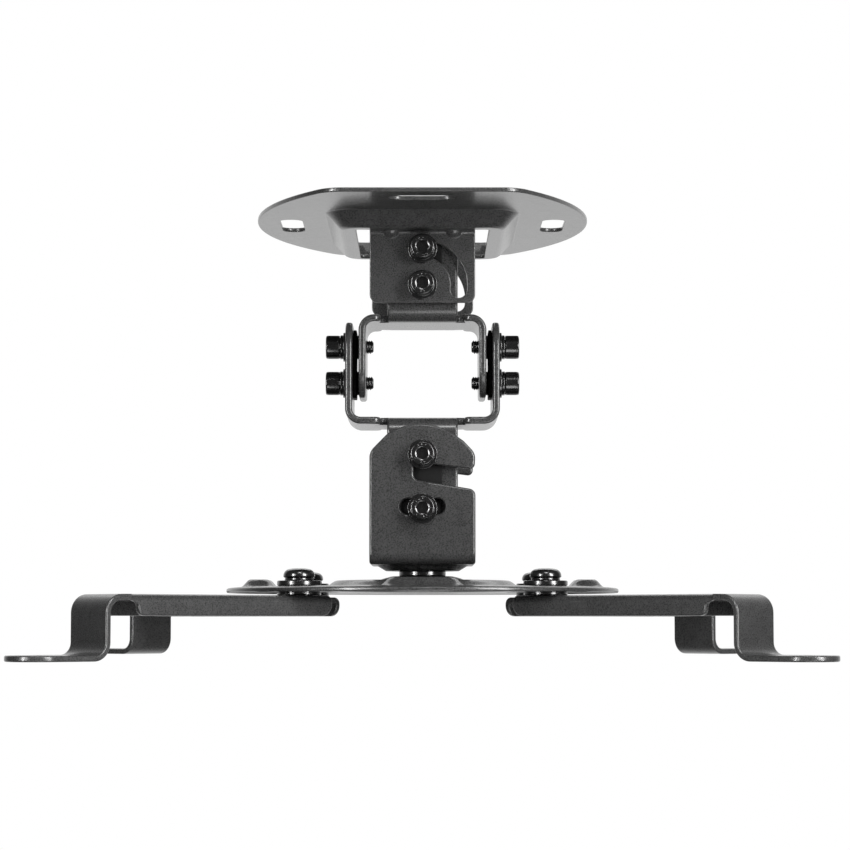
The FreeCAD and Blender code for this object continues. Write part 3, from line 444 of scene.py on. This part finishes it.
def round_edges(bm, width, segments, spared=(), reach=0.0):
    """A bevel on every sharp edge.

    Where a fold runs out, a bevel can throw a point far away. So the edges within reach of the
    spared places stay as they are, and a point that strays returns to the old skin.
    """
    skin = BVHTree.FromBMesh(bm)
    limit = math.radians(SHARP_FROM)
    edges = [e for e in bm.edges if e.is_manifold and e.calc_face_angle(0.0) > limit]
    for place in spared:
        edges = [e for e in edges if min((v.co - place).length for v in e.verts) > reach]
    bmesh.ops.bevel(
        bm,
        geom=edges,
        offset=width,
        offset_type="OFFSET",
        segments=segments,
        profile=0.5,
        affect="EDGES",
        clamp_overlap=False,
        material=-1,
    )
    for vert in bm.verts:
        on_skin, _, _, gap = skin.find_nearest(vert.co)
        if gap > STRAY_SHARE * width:
            vert.co = on_skin
    return len(edges)


# %% The sheets
THIN_EDGE = 0.4 * MM
ARM_EDGE = 0.55 * MM
THICK_EDGE = 0.85 * MM
CORNERS = ("front_left", "front_right", "rear_left", "rear_right")
SHEETS = {"ceiling_plate": THIN_EDGE}
SHEETS.update({node: THICK_EDGE for node in ("upper_link", "lower_link", "hook_box")})
SHEETS.update({corner + "_arm": ARM_EDGE for corner in CORNERS})
EDGE_SEGMENTS = 4

# Where the half round gussets of the ears run out, and how far around it no bevel comes.
GUSSET_X = (-14.1 * MM, -7.9 * MM, 7.9 * MM, 14.1 * MM)
GUSSET_Y = (-20.6 * MM, 20.6 * MM)
GUSSET_LEVEL = -6.6 * MM
GUSSET_REACH = 2.0 * MM

# The same for the folds of an arm's skirts: from the swivel, across the arm, and level.
FOLD_ALONG = 132.0 * MM
FOLD_ACROSS = (-10.3 * MM, 10.3 * MM)
FOLD_LEVEL = -136.3 * MM
FOLD_REACH = 3.0 * MM

gusset_ends = [Vector((x, y, GUSSET_LEVEL)) for x in GUSSET_X for y in GUSSET_Y]
spared = {"ceiling_plate": (gusset_ends, GUSSET_REACH)}
for corner in CORNERS:
    low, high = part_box(corner + "_screw")
    along = Vector((low.x + high.x, low.y + high.y, 0.0)).normalized()
    across = Vector((-along.y, along.x, 0.0))
    middle = along * FOLD_ALONG + Vector((0.0, 0.0, FOLD_LEVEL))
    spared[corner + "_arm"] = ([middle + across * side for side in FOLD_ACROSS], FOLD_REACH)
for node, edge in SHEETS.items():
    skin = clean_copy(node)
    rounded = round_edges(skin, edge, EDGE_SEGMENTS, *spared.get(node, ()))
    keep(node + "_coated", skin, "powder_coat", node)
    print(node, "edges rounded", rounded)

# %% The pads
PAD_EDGE = 0.25 * MM
FEW_SEGMENTS = 2

for node in ("roll_pads", "tilt_pads", "hook_pads"):
    skin = clean_copy(node)
    rounded = round_edges(skin, PAD_EDGE, FEW_SEGMENTS)
    keep(node + "_soft", skin, "pad_plastic", node)
    print(node, "edges rounded", rounded)


# %% [markdown]
# ## Turned pieces
#
# Washers, threads and heads are turned on a lathe in real life. Here a short outline is spun
# about the Z axis, and a lead lifts it on the way where the piece is a thread or a spring.

# %% Lathe helpers
SPUN_POINT = 0.0005 * MM
ARC_STEPS = 3


def arc_points(centre_r, centre_z, radius, start, end, steps):
    """Points of an arc in the (radius, height) plane, angles in degrees from outward."""
    points = []
    for step in range(steps + 1):
        angle = math.radians(start + (end - start) * step / steps)
        points.append((centre_r + radius * math.cos(angle), centre_z + radius * math.sin(angle)))
    return points


def lathe(points, steps=48, sweep=360.0, lead=0.0, closed=True):
    """Turns an outline of (radius, height) points about Z; open ends of a part turn are capped.

    An outline that runs back along the axis leaves a loose edge there, which goes.
    """
    bm = bmesh.new()
    verts = [bm.verts.new((r, 0.0, z)) for r, z in points]
    ends = verts[1:] + verts[:1] if closed else verts[1:]
    edges = [bm.edges.new(pair) for pair in zip(verts, ends)]
    bmesh.ops.spin(
        bm,
        geom=verts + edges,
        cent=(0.0, 0.0, 0.0),
        axis=(0.0, 0.0, 1.0),
        dvec=(0.0, 0.0, lead / steps),
        angle=math.radians(sweep),
        steps=steps,
    )
    bmesh.ops.remove_doubles(bm, verts=bm.verts, dist=SPUN_POINT)
    bmesh.ops.delete(bm, geom=[e for e in bm.edges if e.is_wire], context="EDGES")
    if closed and sweep < 360.0:
        bmesh.ops.holes_fill(bm, edges=[e for e in bm.edges if e.is_boundary], sides=0)
    bmesh.ops.recalc_face_normals(bm, faces=bm.faces)
    return bm


def soft_ring(bore, outer, low, high, soft):
    """The outline of a washer whose four edges are rounded."""
    points = arc_points(outer - soft, low + soft, soft, -90, 0, ARC_STEPS)
    points += arc_points(outer - soft, high - soft, soft, 0, 90, ARC_STEPS)
    points += arc_points(bore + soft, high - soft, soft, 90, 180, ARC_STEPS)
    points += arc_points(bore + soft, low + soft, soft, 180, 270, ARC_STEPS)
    return points


def placed(bm, where, outward, turn=0.0):
    """A copy of a piece whose own Z axis points outward at a place."""
    copy = bm.copy()
    aim = outward.to_track_quat("Z", "Y").to_matrix().to_4x4()
    matrix = Matrix.Translation(where) @ aim @ Matrix.Rotation(turn, 4, "Z")
    bmesh.ops.transform(copy, matrix=matrix, verts=copy.verts)
    return copy


def together(parts):
    """Several meshes in one."""
    whole = bmesh.new()
    for part in parts:
        mesh = bpy.data.meshes.new("passing")
        part.to_mesh(mesh)
        part.free()
        whole.from_mesh(mesh)
        bpy.data.meshes.remove(mesh)
    return whole


# %% [markdown]
# ## The cap screws
#
# Each joint is clamped by M5 cap screws: a round head with a straight knurl around it, a few
# raised strokes on its top and a hexagon socket with a turned mouth. The head is turned, every
# second column of the turned wall is pressed in for the knurl, and a six-sided bar cuts the
# socket.

# %% Carving helpers
CARVED_FLAT_UP_TO = 0.4
PAST = 1 * MM


def as_object(bm):
    """A passing object of a mesh, for a modifier to work on."""
    mesh = bpy.data.meshes.new("passing")
    bm.to_mesh(mesh)
    bm.free()
    thing = bpy.data.objects.new("passing", mesh)
    bpy.context.scene.collection.objects.link(thing)
    return thing


def carved(solid, tool, operation, merge=True):
    """One mesh out of two by an applied Boolean; flat faces are merged unless the form is soft.

    A flat ring can't become one face. It is kept as two halves that meet at the Y axis, or else
    the merging would leave a small odd face at a place of its own choice, which shades wrongly.
    """
    base = as_object(solid)
    other = as_object(tool)
    cut = base.modifiers.new("carve", "BOOLEAN")
    cut.operation = operation
    cut.object = other
    cut.solver = "EXACT"
    shown = base.evaluated_get(bpy.context.evaluated_depsgraph_get())
    bm = bmesh.new()
    bm.from_mesh(shown.to_mesh())
    for thing in (base, other):
        mesh = thing.data
        bpy.data.objects.remove(thing)
        bpy.data.meshes.remove(mesh)
    bmesh.ops.remove_doubles(bm, verts=bm.verts, dist=SAME_POINT)
    if merge:
        for edge in bm.edges:
            edge.seam = max(abs(vert.co.x) for vert in edge.verts) < SAME_POINT
        bmesh.ops.dissolve_limit(
            bm,
            angle_limit=math.radians(CARVED_FLAT_UP_TO),
            verts=bm.verts,
            edges=bm.edges,
            delimit={"SEAM"},
        )
    return bm


def hexagon_bar(across, low, high):
    """A six-sided bar standing on Z."""
    bm = bmesh.new()
    radius = across / 2 / math.cos(math.pi / 6)
    bmesh.ops.create_cone(
        bm,
        cap_ends=True,
        segments=6,
        radius1=radius,
        radius2=radius,
        depth=high - low,
        matrix=Matrix.Translation((0.0, 0.0, (low + high) / 2)),
    )
    return bm


# %% Threads
# Steps of a turn, then shares of the pitch; the point is a share of the core's radius.
THREAD_STEPS = 20
BARE_ENDS = 1.2
BARE_POINT = 0.2
CREST_FROM, CREST_TO = 0.42, 0.58
POINT_SHARE = 0.2
SUNK = 0.01 * MM


def thread(crest, root, pitch, low, high):
    """A screw thread from low to high with a solid core and a pointed end at low.

    The ridge leaves a bit of the core bare at both ends, and its foot is sunk in the core.
    """
    turns = (high - low) / pitch - BARE_ENDS
    outline = [(root, 0.0), (crest, pitch * CREST_FROM), (crest, pitch * CREST_TO), (root, pitch)]
    steps = round(THREAD_STEPS * turns)
    ridge = lathe(outline, steps, 360.0 * turns, pitch * turns, closed=False)
    bmesh.ops.translate(ridge, vec=(0.0, 0.0, low + pitch * BARE_POINT), verts=ridge.verts)
    core = root + SUNK
    tip = [(0.0, low), (core * (1 - POINT_SHARE), low), (core, low + core * POINT_SHARE)]
    bar = lathe(tip + [(core, high), (0.0, high)], 32)
    return [ridge, bar]


# %% The M5 cap screw
HEAD_RADIUS = 4.15 * MM
HEAD_HEIGHT = 5.0 * MM
HEAD_SOFT = 0.5 * MM
SCREW_LENGTH = 12.0 * MM
HEAD_CHAMFER = 0.2 * MM
WALL_LEVELS = (0.2 * MM, 0.45 * MM, 0.6 * MM, 4.0 * MM, 4.2 * MM)
RIM_INSET = 0.7 * MM
TOP_INSET = 0.8 * MM
TOP_SINK = 0.1 * MM
KNURL_LOW = 0.5 * MM
KNURL_HIGH = 4.1 * MM
KNURL_DEPTH = 0.13 * MM
RIDGES = 48
SOCKET_ACROSS = 4.0 * MM
SOCKET_DEPTH = 2.6 * MM
MOUTH_CHAMFER = 0.5 * MM
STROKES = (60, 84, 108, 205, 250, 272, 330)
STROKE_RADIUS = 0.3 * MM
STROKE_SHAPE = (1.6, 0.8, 0.6, 1.0)
M5_CREST = 2.4 * MM
M5_ROOT = 2.02 * MM
M5_PITCH = 0.8 * MM


def knurled(head):
    """Presses every second column of the head's wall inward."""
    for vert in head.verts:
        column = round(math.atan2(vert.co.y, vert.co.x) / (math.pi / RIDGES))
        on_wall = vert.co.xy.length > HEAD_RADIUS * 0.99
        if on_wall and KNURL_LOW < vert.co.z < KNURL_HIGH and column % 2:
            vert.co.xy *= 1 - KNURL_DEPTH / HEAD_RADIUS
    return head


def stroke(degrees, radius, level):
    """A small raised stroke on the top of the head."""
    bm = bmesh.new()
    bmesh.ops.create_icosphere(bm, subdivisions=2, radius=STROKE_RADIUS)
    turn = Matrix.Rotation(math.radians(degrees), 4, "Z")
    place = turn @ Matrix.Translation((radius, 0.0, level))
    bmesh.ops.transform(bm, matrix=place @ Matrix.Diagonal(STROKE_SHAPE), verts=bm.verts)
    return bm


def cap_screw():
    """The screw with the underside of its head at level zero and its tip below."""
    mouth = SOCKET_ACROSS / 2 / math.cos(math.pi / 6) + MOUTH_CHAMFER
    face = HEAD_HEIGHT - TOP_SINK
    floor = face - MOUTH_CHAMFER
    outline = [(0.0, 0.0), (HEAD_RADIUS - HEAD_CHAMFER, 0.0)]
    outline += [(HEAD_RADIUS, level) for level in WALL_LEVELS]
    outline += arc_points(HEAD_RADIUS - HEAD_SOFT, HEAD_HEIGHT - HEAD_SOFT, HEAD_SOFT, 0, 90, 5)
    outline += [(HEAD_RADIUS - RIM_INSET, HEAD_HEIGHT), (HEAD_RADIUS - TOP_INSET, face)]
    outline += [(mouth + 0.05 * MM, face), (mouth - MOUTH_CHAMFER, floor), (0.0, floor)]
    head = knurled(lathe(outline, 2 * RIDGES))
    socket = hexagon_bar(SOCKET_ACROSS, HEAD_HEIGHT - SOCKET_DEPTH, HEAD_HEIGHT + PAST)
    head = carved(head, socket, "DIFFERENCE")
    ring = (HEAD_RADIUS - TOP_INSET + mouth) / 2
    strokes = [stroke(degrees, ring, face) for degrees in STROKES]
    shank = thread(M5_CREST, M5_ROOT, M5_PITCH, -SCREW_LENGTH, 0.5 * MM)
    return together([head] + strokes + shank)


SCREW = cap_screw()
print("faces of one screw", len(SCREW.faces))

# %% [markdown]
# Every joint has four screws, each over a split spring washer and a flat washer. The boxes of
# the measured nodes say where they sit: the outer face of a screw node is the top of its heads.
# No two of them came to rest at the same angle, so each kind has its own turn, in degrees.

# %% Screws and washers of the joints
WASHER_BORE = 2.55 * MM
SPRING_RADIUS = 4.3 * MM
SPRING_THICKNESS = 1.2 * MM
SPRING_LIFT = 0.15 * MM
SPRING_SWEEP = 350.0
FLAT_RADIUS = 5.2 * MM
FLAT_THICKNESS = 1.0 * MM
TURNS = {"pivot": 11.0, "lock": 28.0}
SPLIT_TURNS = 5

spring_wire = soft_ring(WASHER_BORE, SPRING_RADIUS, 0.0, SPRING_THICKNESS - SPRING_LIFT, 0.2 * MM)
SPRING = lathe(spring_wire, 44, SPRING_SWEEP, SPRING_LIFT)
FLAT = lathe(soft_ring(WASHER_BORE, FLAT_RADIUS, 0.0, FLAT_THICKNESS, 0.22 * MM), 64)


def outer_places(node, axis):
    """The places of a node's pieces on both sides of the middle, each with its outward way."""
    low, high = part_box(node)
    middle = (low + high) / 2
    places = []
    for way, reach in ((-1.0, low[axis]), (1.0, high[axis])):
        place = middle.copy()
        place[axis] = reach
        outward = Vector((0.0, 0.0, 0.0))
        outward[axis] = way
        places.append((place, outward))
    return places


for joint, axis in (("roll", 1), ("tilt", 0), ("hook", 1)):
    springs = []
    flats = []
    for kind in ("pivot", "lock"):
        node = f"{joint}_{kind}_screws"
        screws = []
        spring_faces = outer_places(joint + "_spring_washers", axis)
        flat_faces = outer_places(joint + "_flat_washers", axis)
        for side, (top, outward) in enumerate(outer_places(node, axis)):
            turn = math.radians(TURNS[kind])
            screws.append(placed(SCREW, top - outward * HEAD_HEIGHT, outward, turn))
            for made, shape, faces, thickness in (
                (springs, SPRING, spring_faces, SPRING_THICKNESS),
                (flats, FLAT, flat_faces, FLAT_THICKNESS),
            ):
                seat = top.copy()
                seat[axis] = faces[side][0][axis]
                made.append(placed(shape, seat - outward * thickness, outward, turn * SPLIT_TURNS))
        keep(node + "_turned", together(screws), "black_steel", node)
    keep(joint + "_springs_turned", together(springs), "black_steel", joint + "_spring_washers")
    keep(joint + "_flats_turned", together(flats), "black_steel", joint + "_flat_washers")
    print(joint, "spring washers", len(springs), "flat washers", len(flats))

# %% [markdown]
# ## The arm clamps
#
# An arm is clamped to the disc by a screw with a domed head, a spring washer, a thick washer
# above the disc, another one under it, and a lock nut inside the arm's channel. The dome draws
# in again under its widest level, which gives the head its dark lower line.

# %% The domed screw and the lock nut
COLLAR_SHARE = 0.25
COLLAR_RADIUS_SHARE = 0.44
CORNER_CUT = 0.08
DOME_HEIGHT = 3.4 * MM
DOME_WIDE = 5.4 * MM
DOME_LIP = 0.5 * MM
DOME_WIDEST = 0.75 * MM
DOME_SHOULDER = 2.3 * MM
DOME_SOCKET_DEPTH = 2.0 * MM


def domed_head(under):
    """A full-shouldered button head with a hexagon socket, its underside at the given level."""
    top = under + DOME_HEIGHT
    level = under + DOME_WIDEST
    inner = DOME_WIDE - DOME_SHOULDER
    outline = [(0.0, under), (DOME_WIDE - DOME_LIP, under)]
    outline += arc_points(DOME_WIDE - DOME_LIP, level - 0.1 * MM, DOME_LIP, -50, 0, 4)
    outline += arc_points(inner, level, DOME_SHOULDER, 0, 78, 10)
    edge_r, edge_z = outline[-1]
    for share in (0.8, 0.6, 0.4, 0.2, 0.0):
        outline.append((edge_r * share, edge_z + (top - edge_z) * (1 - share * share)))
    head = lathe(outline, 64)
    socket = hexagon_bar(SOCKET_ACROSS, top - DOME_SOCKET_DEPTH, top + PAST)
    return carved(head, socket, "DIFFERENCE", merge=False)


def drill(radius, low, high):
    """A round bar that stands on Z, to cut a hole with."""
    return lathe([(0.0, low), (radius, low), (radius, high), (0.0, high)], 40)


def lock_nut(across, bore, low, high, collar_way):
    """A hexagon nut with turned corners, and a round nylon collar on one side.

    The six-sided bar is longer than the turned form that trims it, because an exact Boolean can
    lose a body where two flat faces lie in one plane.
    """
    collar = (high - low) * COLLAR_SHARE
    corner = across / 2 / math.cos(math.pi / 6)
    cut = corner * CORNER_CUT
    base = low if collar_way > 0 else low + collar
    top = high - collar if collar_way > 0 else high
    crown = lathe([(0.0, base), (corner - 2 * cut, base), (corner + cut, base + 1.7 * cut),
                   (corner + cut, top - 1.7 * cut), (corner - 2 * cut, top), (0.0, top)], 64)
    bar = hexagon_bar(across, base - PAST, top + PAST)
    body = carved(bar, crown, "INTERSECT")
    body = carved(body, drill(bore, low - PAST, high + PAST), "DIFFERENCE")
    ring_low = top - SUNK if collar_way > 0 else low
    ring_high = high if collar_way > 0 else base + SUNK
    ring = lathe(soft_ring(bore, across * COLLAR_RADIUS_SHARE, ring_low, ring_high, 0.3 * MM), 48)
    return together([body, ring])


# %% The clamps
M6_CREST = 2.95 * MM
M6_ROOT = 2.5 * MM
M6_PITCH = 1.0 * MM
CLAMP_BORE = 3.0 * MM
CLAMP_WASHER_RADIUS = 7.5 * MM
CLAMP_SPRING_RADIUS = 4.9 * MM
CLAMP_SPRING_LIFT = 0.1 * MM
CLAMP_SPRING_SWEEP = 352.0
CLAMP_NUT_ACROSS = 10.0 * MM


def keep_on_clamp(name, bm, node, centre):
    """Moves a piece made about Z to its clamp and keeps it."""
    bmesh.ops.translate(bm, vec=centre, verts=bm.verts)
    keep(name, bm, "black_steel", node)


for corner in CORNERS:
    low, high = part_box(corner + "_screw")
    centre = Vector(((low.x + high.x) / 2, (low.y + high.y) / 2, 0.0))
    under = high.z - DOME_HEIGHT
    shank = thread(M6_CREST, M6_ROOT, M6_PITCH, low.z, under + 0.2 * MM)
    screw = together([domed_head(under)] + shank)
    keep_on_clamp(corner + "_screw_turned", screw, corner + "_screw", centre)
    for name, soft in (("_top_washer", 0.35 * MM), ("_under_washer", 0.3 * MM)):
        low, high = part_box(corner + name)
        ring = lathe(soft_ring(CLAMP_BORE, CLAMP_WASHER_RADIUS, low.z, high.z, soft), 72)
        keep_on_clamp(corner + name + "_turned", ring, corner + name, centre)
    low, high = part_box(corner + "_spring_washer")
    wire = soft_ring(CLAMP_BORE, CLAMP_SPRING_RADIUS, low.z, high.z - CLAMP_SPRING_LIFT, 0.2 * MM)
    ring = lathe(wire, 52, CLAMP_SPRING_SWEEP, CLAMP_SPRING_LIFT)
    keep_on_clamp(corner + "_spring_turned", ring, corner + "_spring_washer", centre)
    low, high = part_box(corner + "_nut")
    nut = lock_nut(CLAMP_NUT_ACROSS, CLAMP_BORE, low.z, high.z, -1)
    keep_on_clamp(corner + "_nut_turned", nut, corner + "_nut", centre)
print("clamps", len(CORNERS))

# %% [markdown]
# ## The disc
#
# The disc is a pressed sheet. It is turned with many fine rings and columns, then pressed: every
# point near the middle line of a ridge is lifted, top and underside alike, so the sheet keeps
# its thickness, and the ridge gets the soft feet and ends that a press gives.

# %% The pressed disc
DISC_SHEET = 1.5 * MM
# The plateau's top radius, its foot radius and its rise; the rim's width and its droop.
PLATEAU = (30.3 * MM, 35.2 * MM, 2.4 * MM)
RIM = (5.5 * MM, 0.5 * MM)
RIDGE_INSET = 11.3 * MM
RIDGE_HALF_WIDTH = 6.4 * MM
RIDGE_HALF_CREST = 3.0 * MM
RIDGE_RISE = 2.7 * MM
RIDGE_HALF_SWEEP = math.radians(7.5)
DISC_BORE = 5.1 * MM
DISC_SOFT = 0.55 * MM
CLAMP_HOLE = 3.05 * MM
DISC_COLUMNS = 288


def spread(start, end, count):
    """Evenly spread values, both ends included."""
    return [start + (end - start) * step / count for step in range(count + 1)]


def smooth(share):
    """A share held between 0 and 1, with a soft start and end."""
    share = min(max(share, 0.0), 1.0)
    return share * share * (3 - 2 * share)


def sheet_level(radius, disc_radius, shift):
    """Height of a face of the disc over its flat: up on the plateau, down along the rim."""
    inner, outer, rise = PLATEAU
    up = rise * smooth((outer - shift - radius) / (outer - inner))
    run = min(max((radius - disc_radius + RIM[0]) / RIM[0], 0.0), 1.0)
    return up - RIM[1] * run * run


def ridge_lift(where, middle_radius):
    """How far a press lifts the point: most on a ridge's middle line, nothing past its feet."""
    angle = math.atan2(where.y, where.x)
    nearest = round(angle / (math.pi / 2)) * math.pi / 2
    along = min(max(angle - nearest, -RIDGE_HALF_SWEEP), RIDGE_HALF_SWEEP) + nearest
    off_x = where.x - middle_radius * math.cos(along)
    off_y = where.y - middle_radius * math.sin(along)
    gap = math.hypot(off_x, off_y)
    return RIDGE_RISE * smooth((RIDGE_HALF_WIDTH - gap) / (RIDGE_HALF_WIDTH - RIDGE_HALF_CREST))


low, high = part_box("spider_disc")
disc_radius = high.x
flat_top = high.z - RIDGE_RISE
flat_under = flat_top - DISC_SHEET
rim_middle = disc_radius - DISC_SOFT
radii = [DISC_BORE, 15 * MM, 27 * MM] + spread(28 * MM, 38 * MM, 18) + spread(40 * MM, 50 * MM, 3)
radii += spread(51 * MM, rim_middle, 28)
top_face = [(r, flat_top + sheet_level(r, disc_radius, 0.0)) for r in radii]
under_face = [(r, flat_under + sheet_level(r, disc_radius, DISC_SHEET / 2)) for r in radii]
rim_top = flat_top - RIM[1]
rim_under = flat_under - RIM[1]
outline = top_face + arc_points(rim_middle, rim_top - DISC_SOFT, DISC_SOFT, 78, 0, 5)
outline += arc_points(rim_middle, rim_under + DISC_SOFT, DISC_SOFT, 0, -78, 5) + under_face[::-1]
disc = lathe(outline, DISC_COLUMNS)
for vert in disc.verts:
    vert.co.z += ridge_lift(vert.co, disc_radius - RIDGE_INSET)
drills = []
for corner in CORNERS:
    spot_low, spot_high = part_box(corner + "_screw")
    bar = drill(CLAMP_HOLE, low.z - PAST, high.z)
    middle = (spot_low + spot_high) / 2
    bmesh.ops.translate(bar, vec=(middle.x, middle.y, 0.0), verts=bar.verts)
    drills.append(bar)
disc = carved(disc, together(drills), "DIFFERENCE", merge=False)
print("disc faces", len(disc.faces))
keep("spider_disc_pressed", disc, "powder_coat", "spider_disc")

# %% [markdown]
# ## The swivel
#
# A bolt stands up through the disc and the dish of the hook box. Outside, only the bush between
# dish and disc shows its gloss; inside the box sit a washer and a lock nut.

# %% The swivel stack
SWIVEL_BORE = 5.05 * MM
SWIVEL_NUT_ACROSS = 16.0 * MM
BOLT_RADIUS = 4.98 * MM
BOLT_ROOT = 4.3 * MM
BOLT_PITCH = 1.5 * MM
BOLT_HEAD = 2.0 * MM
PLAIN_TO = 11.5 * MM
THREAD_FROM = 12.0 * MM
SWIVEL_DISC_EDGE = 0.15 * MM

for name, soft in (("swivel_neck", 0.3 * MM), ("swivel_washer", 0.25 * MM)):
    low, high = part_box(name)
    ring = lathe(soft_ring(SWIVEL_BORE, high.x, low.z, high.z, soft), 96)
    keep(name + "_turned", ring, "black_steel", name)
low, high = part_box("swivel_nut")
nut = lock_nut(SWIVEL_NUT_ACROSS, SWIVEL_BORE, low.z, high.z, 1)
keep("swivel_nut_turned", nut, "black_steel", "swivel_nut")
low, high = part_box("swivel_bolt")
head_top = low.z + BOLT_HEAD
plate = lathe([(0.0, low.z), (high.x - 0.4 * MM, low.z), (high.x, low.z + 0.4 * MM),
               (high.x, head_top - 0.3 * MM), (high.x - 0.3 * MM, head_top), (0.0, head_top)], 72)
plain = [(0.0, head_top - 0.1 * MM), (BOLT_RADIUS, head_top - 0.1 * MM),
         (BOLT_RADIUS, high.z - PLAIN_TO), (0.0, high.z - PLAIN_TO)]
shank = lathe(plain, 48)
tip = thread(BOLT_RADIUS, BOLT_ROOT, BOLT_PITCH, -high.z, THREAD_FROM - high.z)
for part in tip:
    bmesh.ops.scale(part, vec=(1.0, -1.0, -1.0), verts=part.verts)
keep("swivel_bolt_turned", together([plate, shank] + tip), "black_steel", "swivel_bolt")
skin = clean_copy("swivel_disc")
round_edges(skin, SWIVEL_DISC_EDGE, FEW_SEGMENTS)
keep("swivel_disc_coated", skin, "powder_coat", "swivel_disc")
print("swivel pieces dressed")

# %% Finishes on the measured nodes
for part in record["subparts"]:
    thing = frame["nodes"][part["node"]]
    thing.data.materials.clear()
    thing.data.materials.append(FINISHES[part["material_slot"]])
print("finishes on", len(record["subparts"]), "nodes")

# %% How much the dressed pieces grew the object
shown_low, shown_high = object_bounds()
growth = (shown_high - shown_low) - (cad_high - cad_low)
print("grown by, in mm", [round(value / MM, 2) for value in growth])
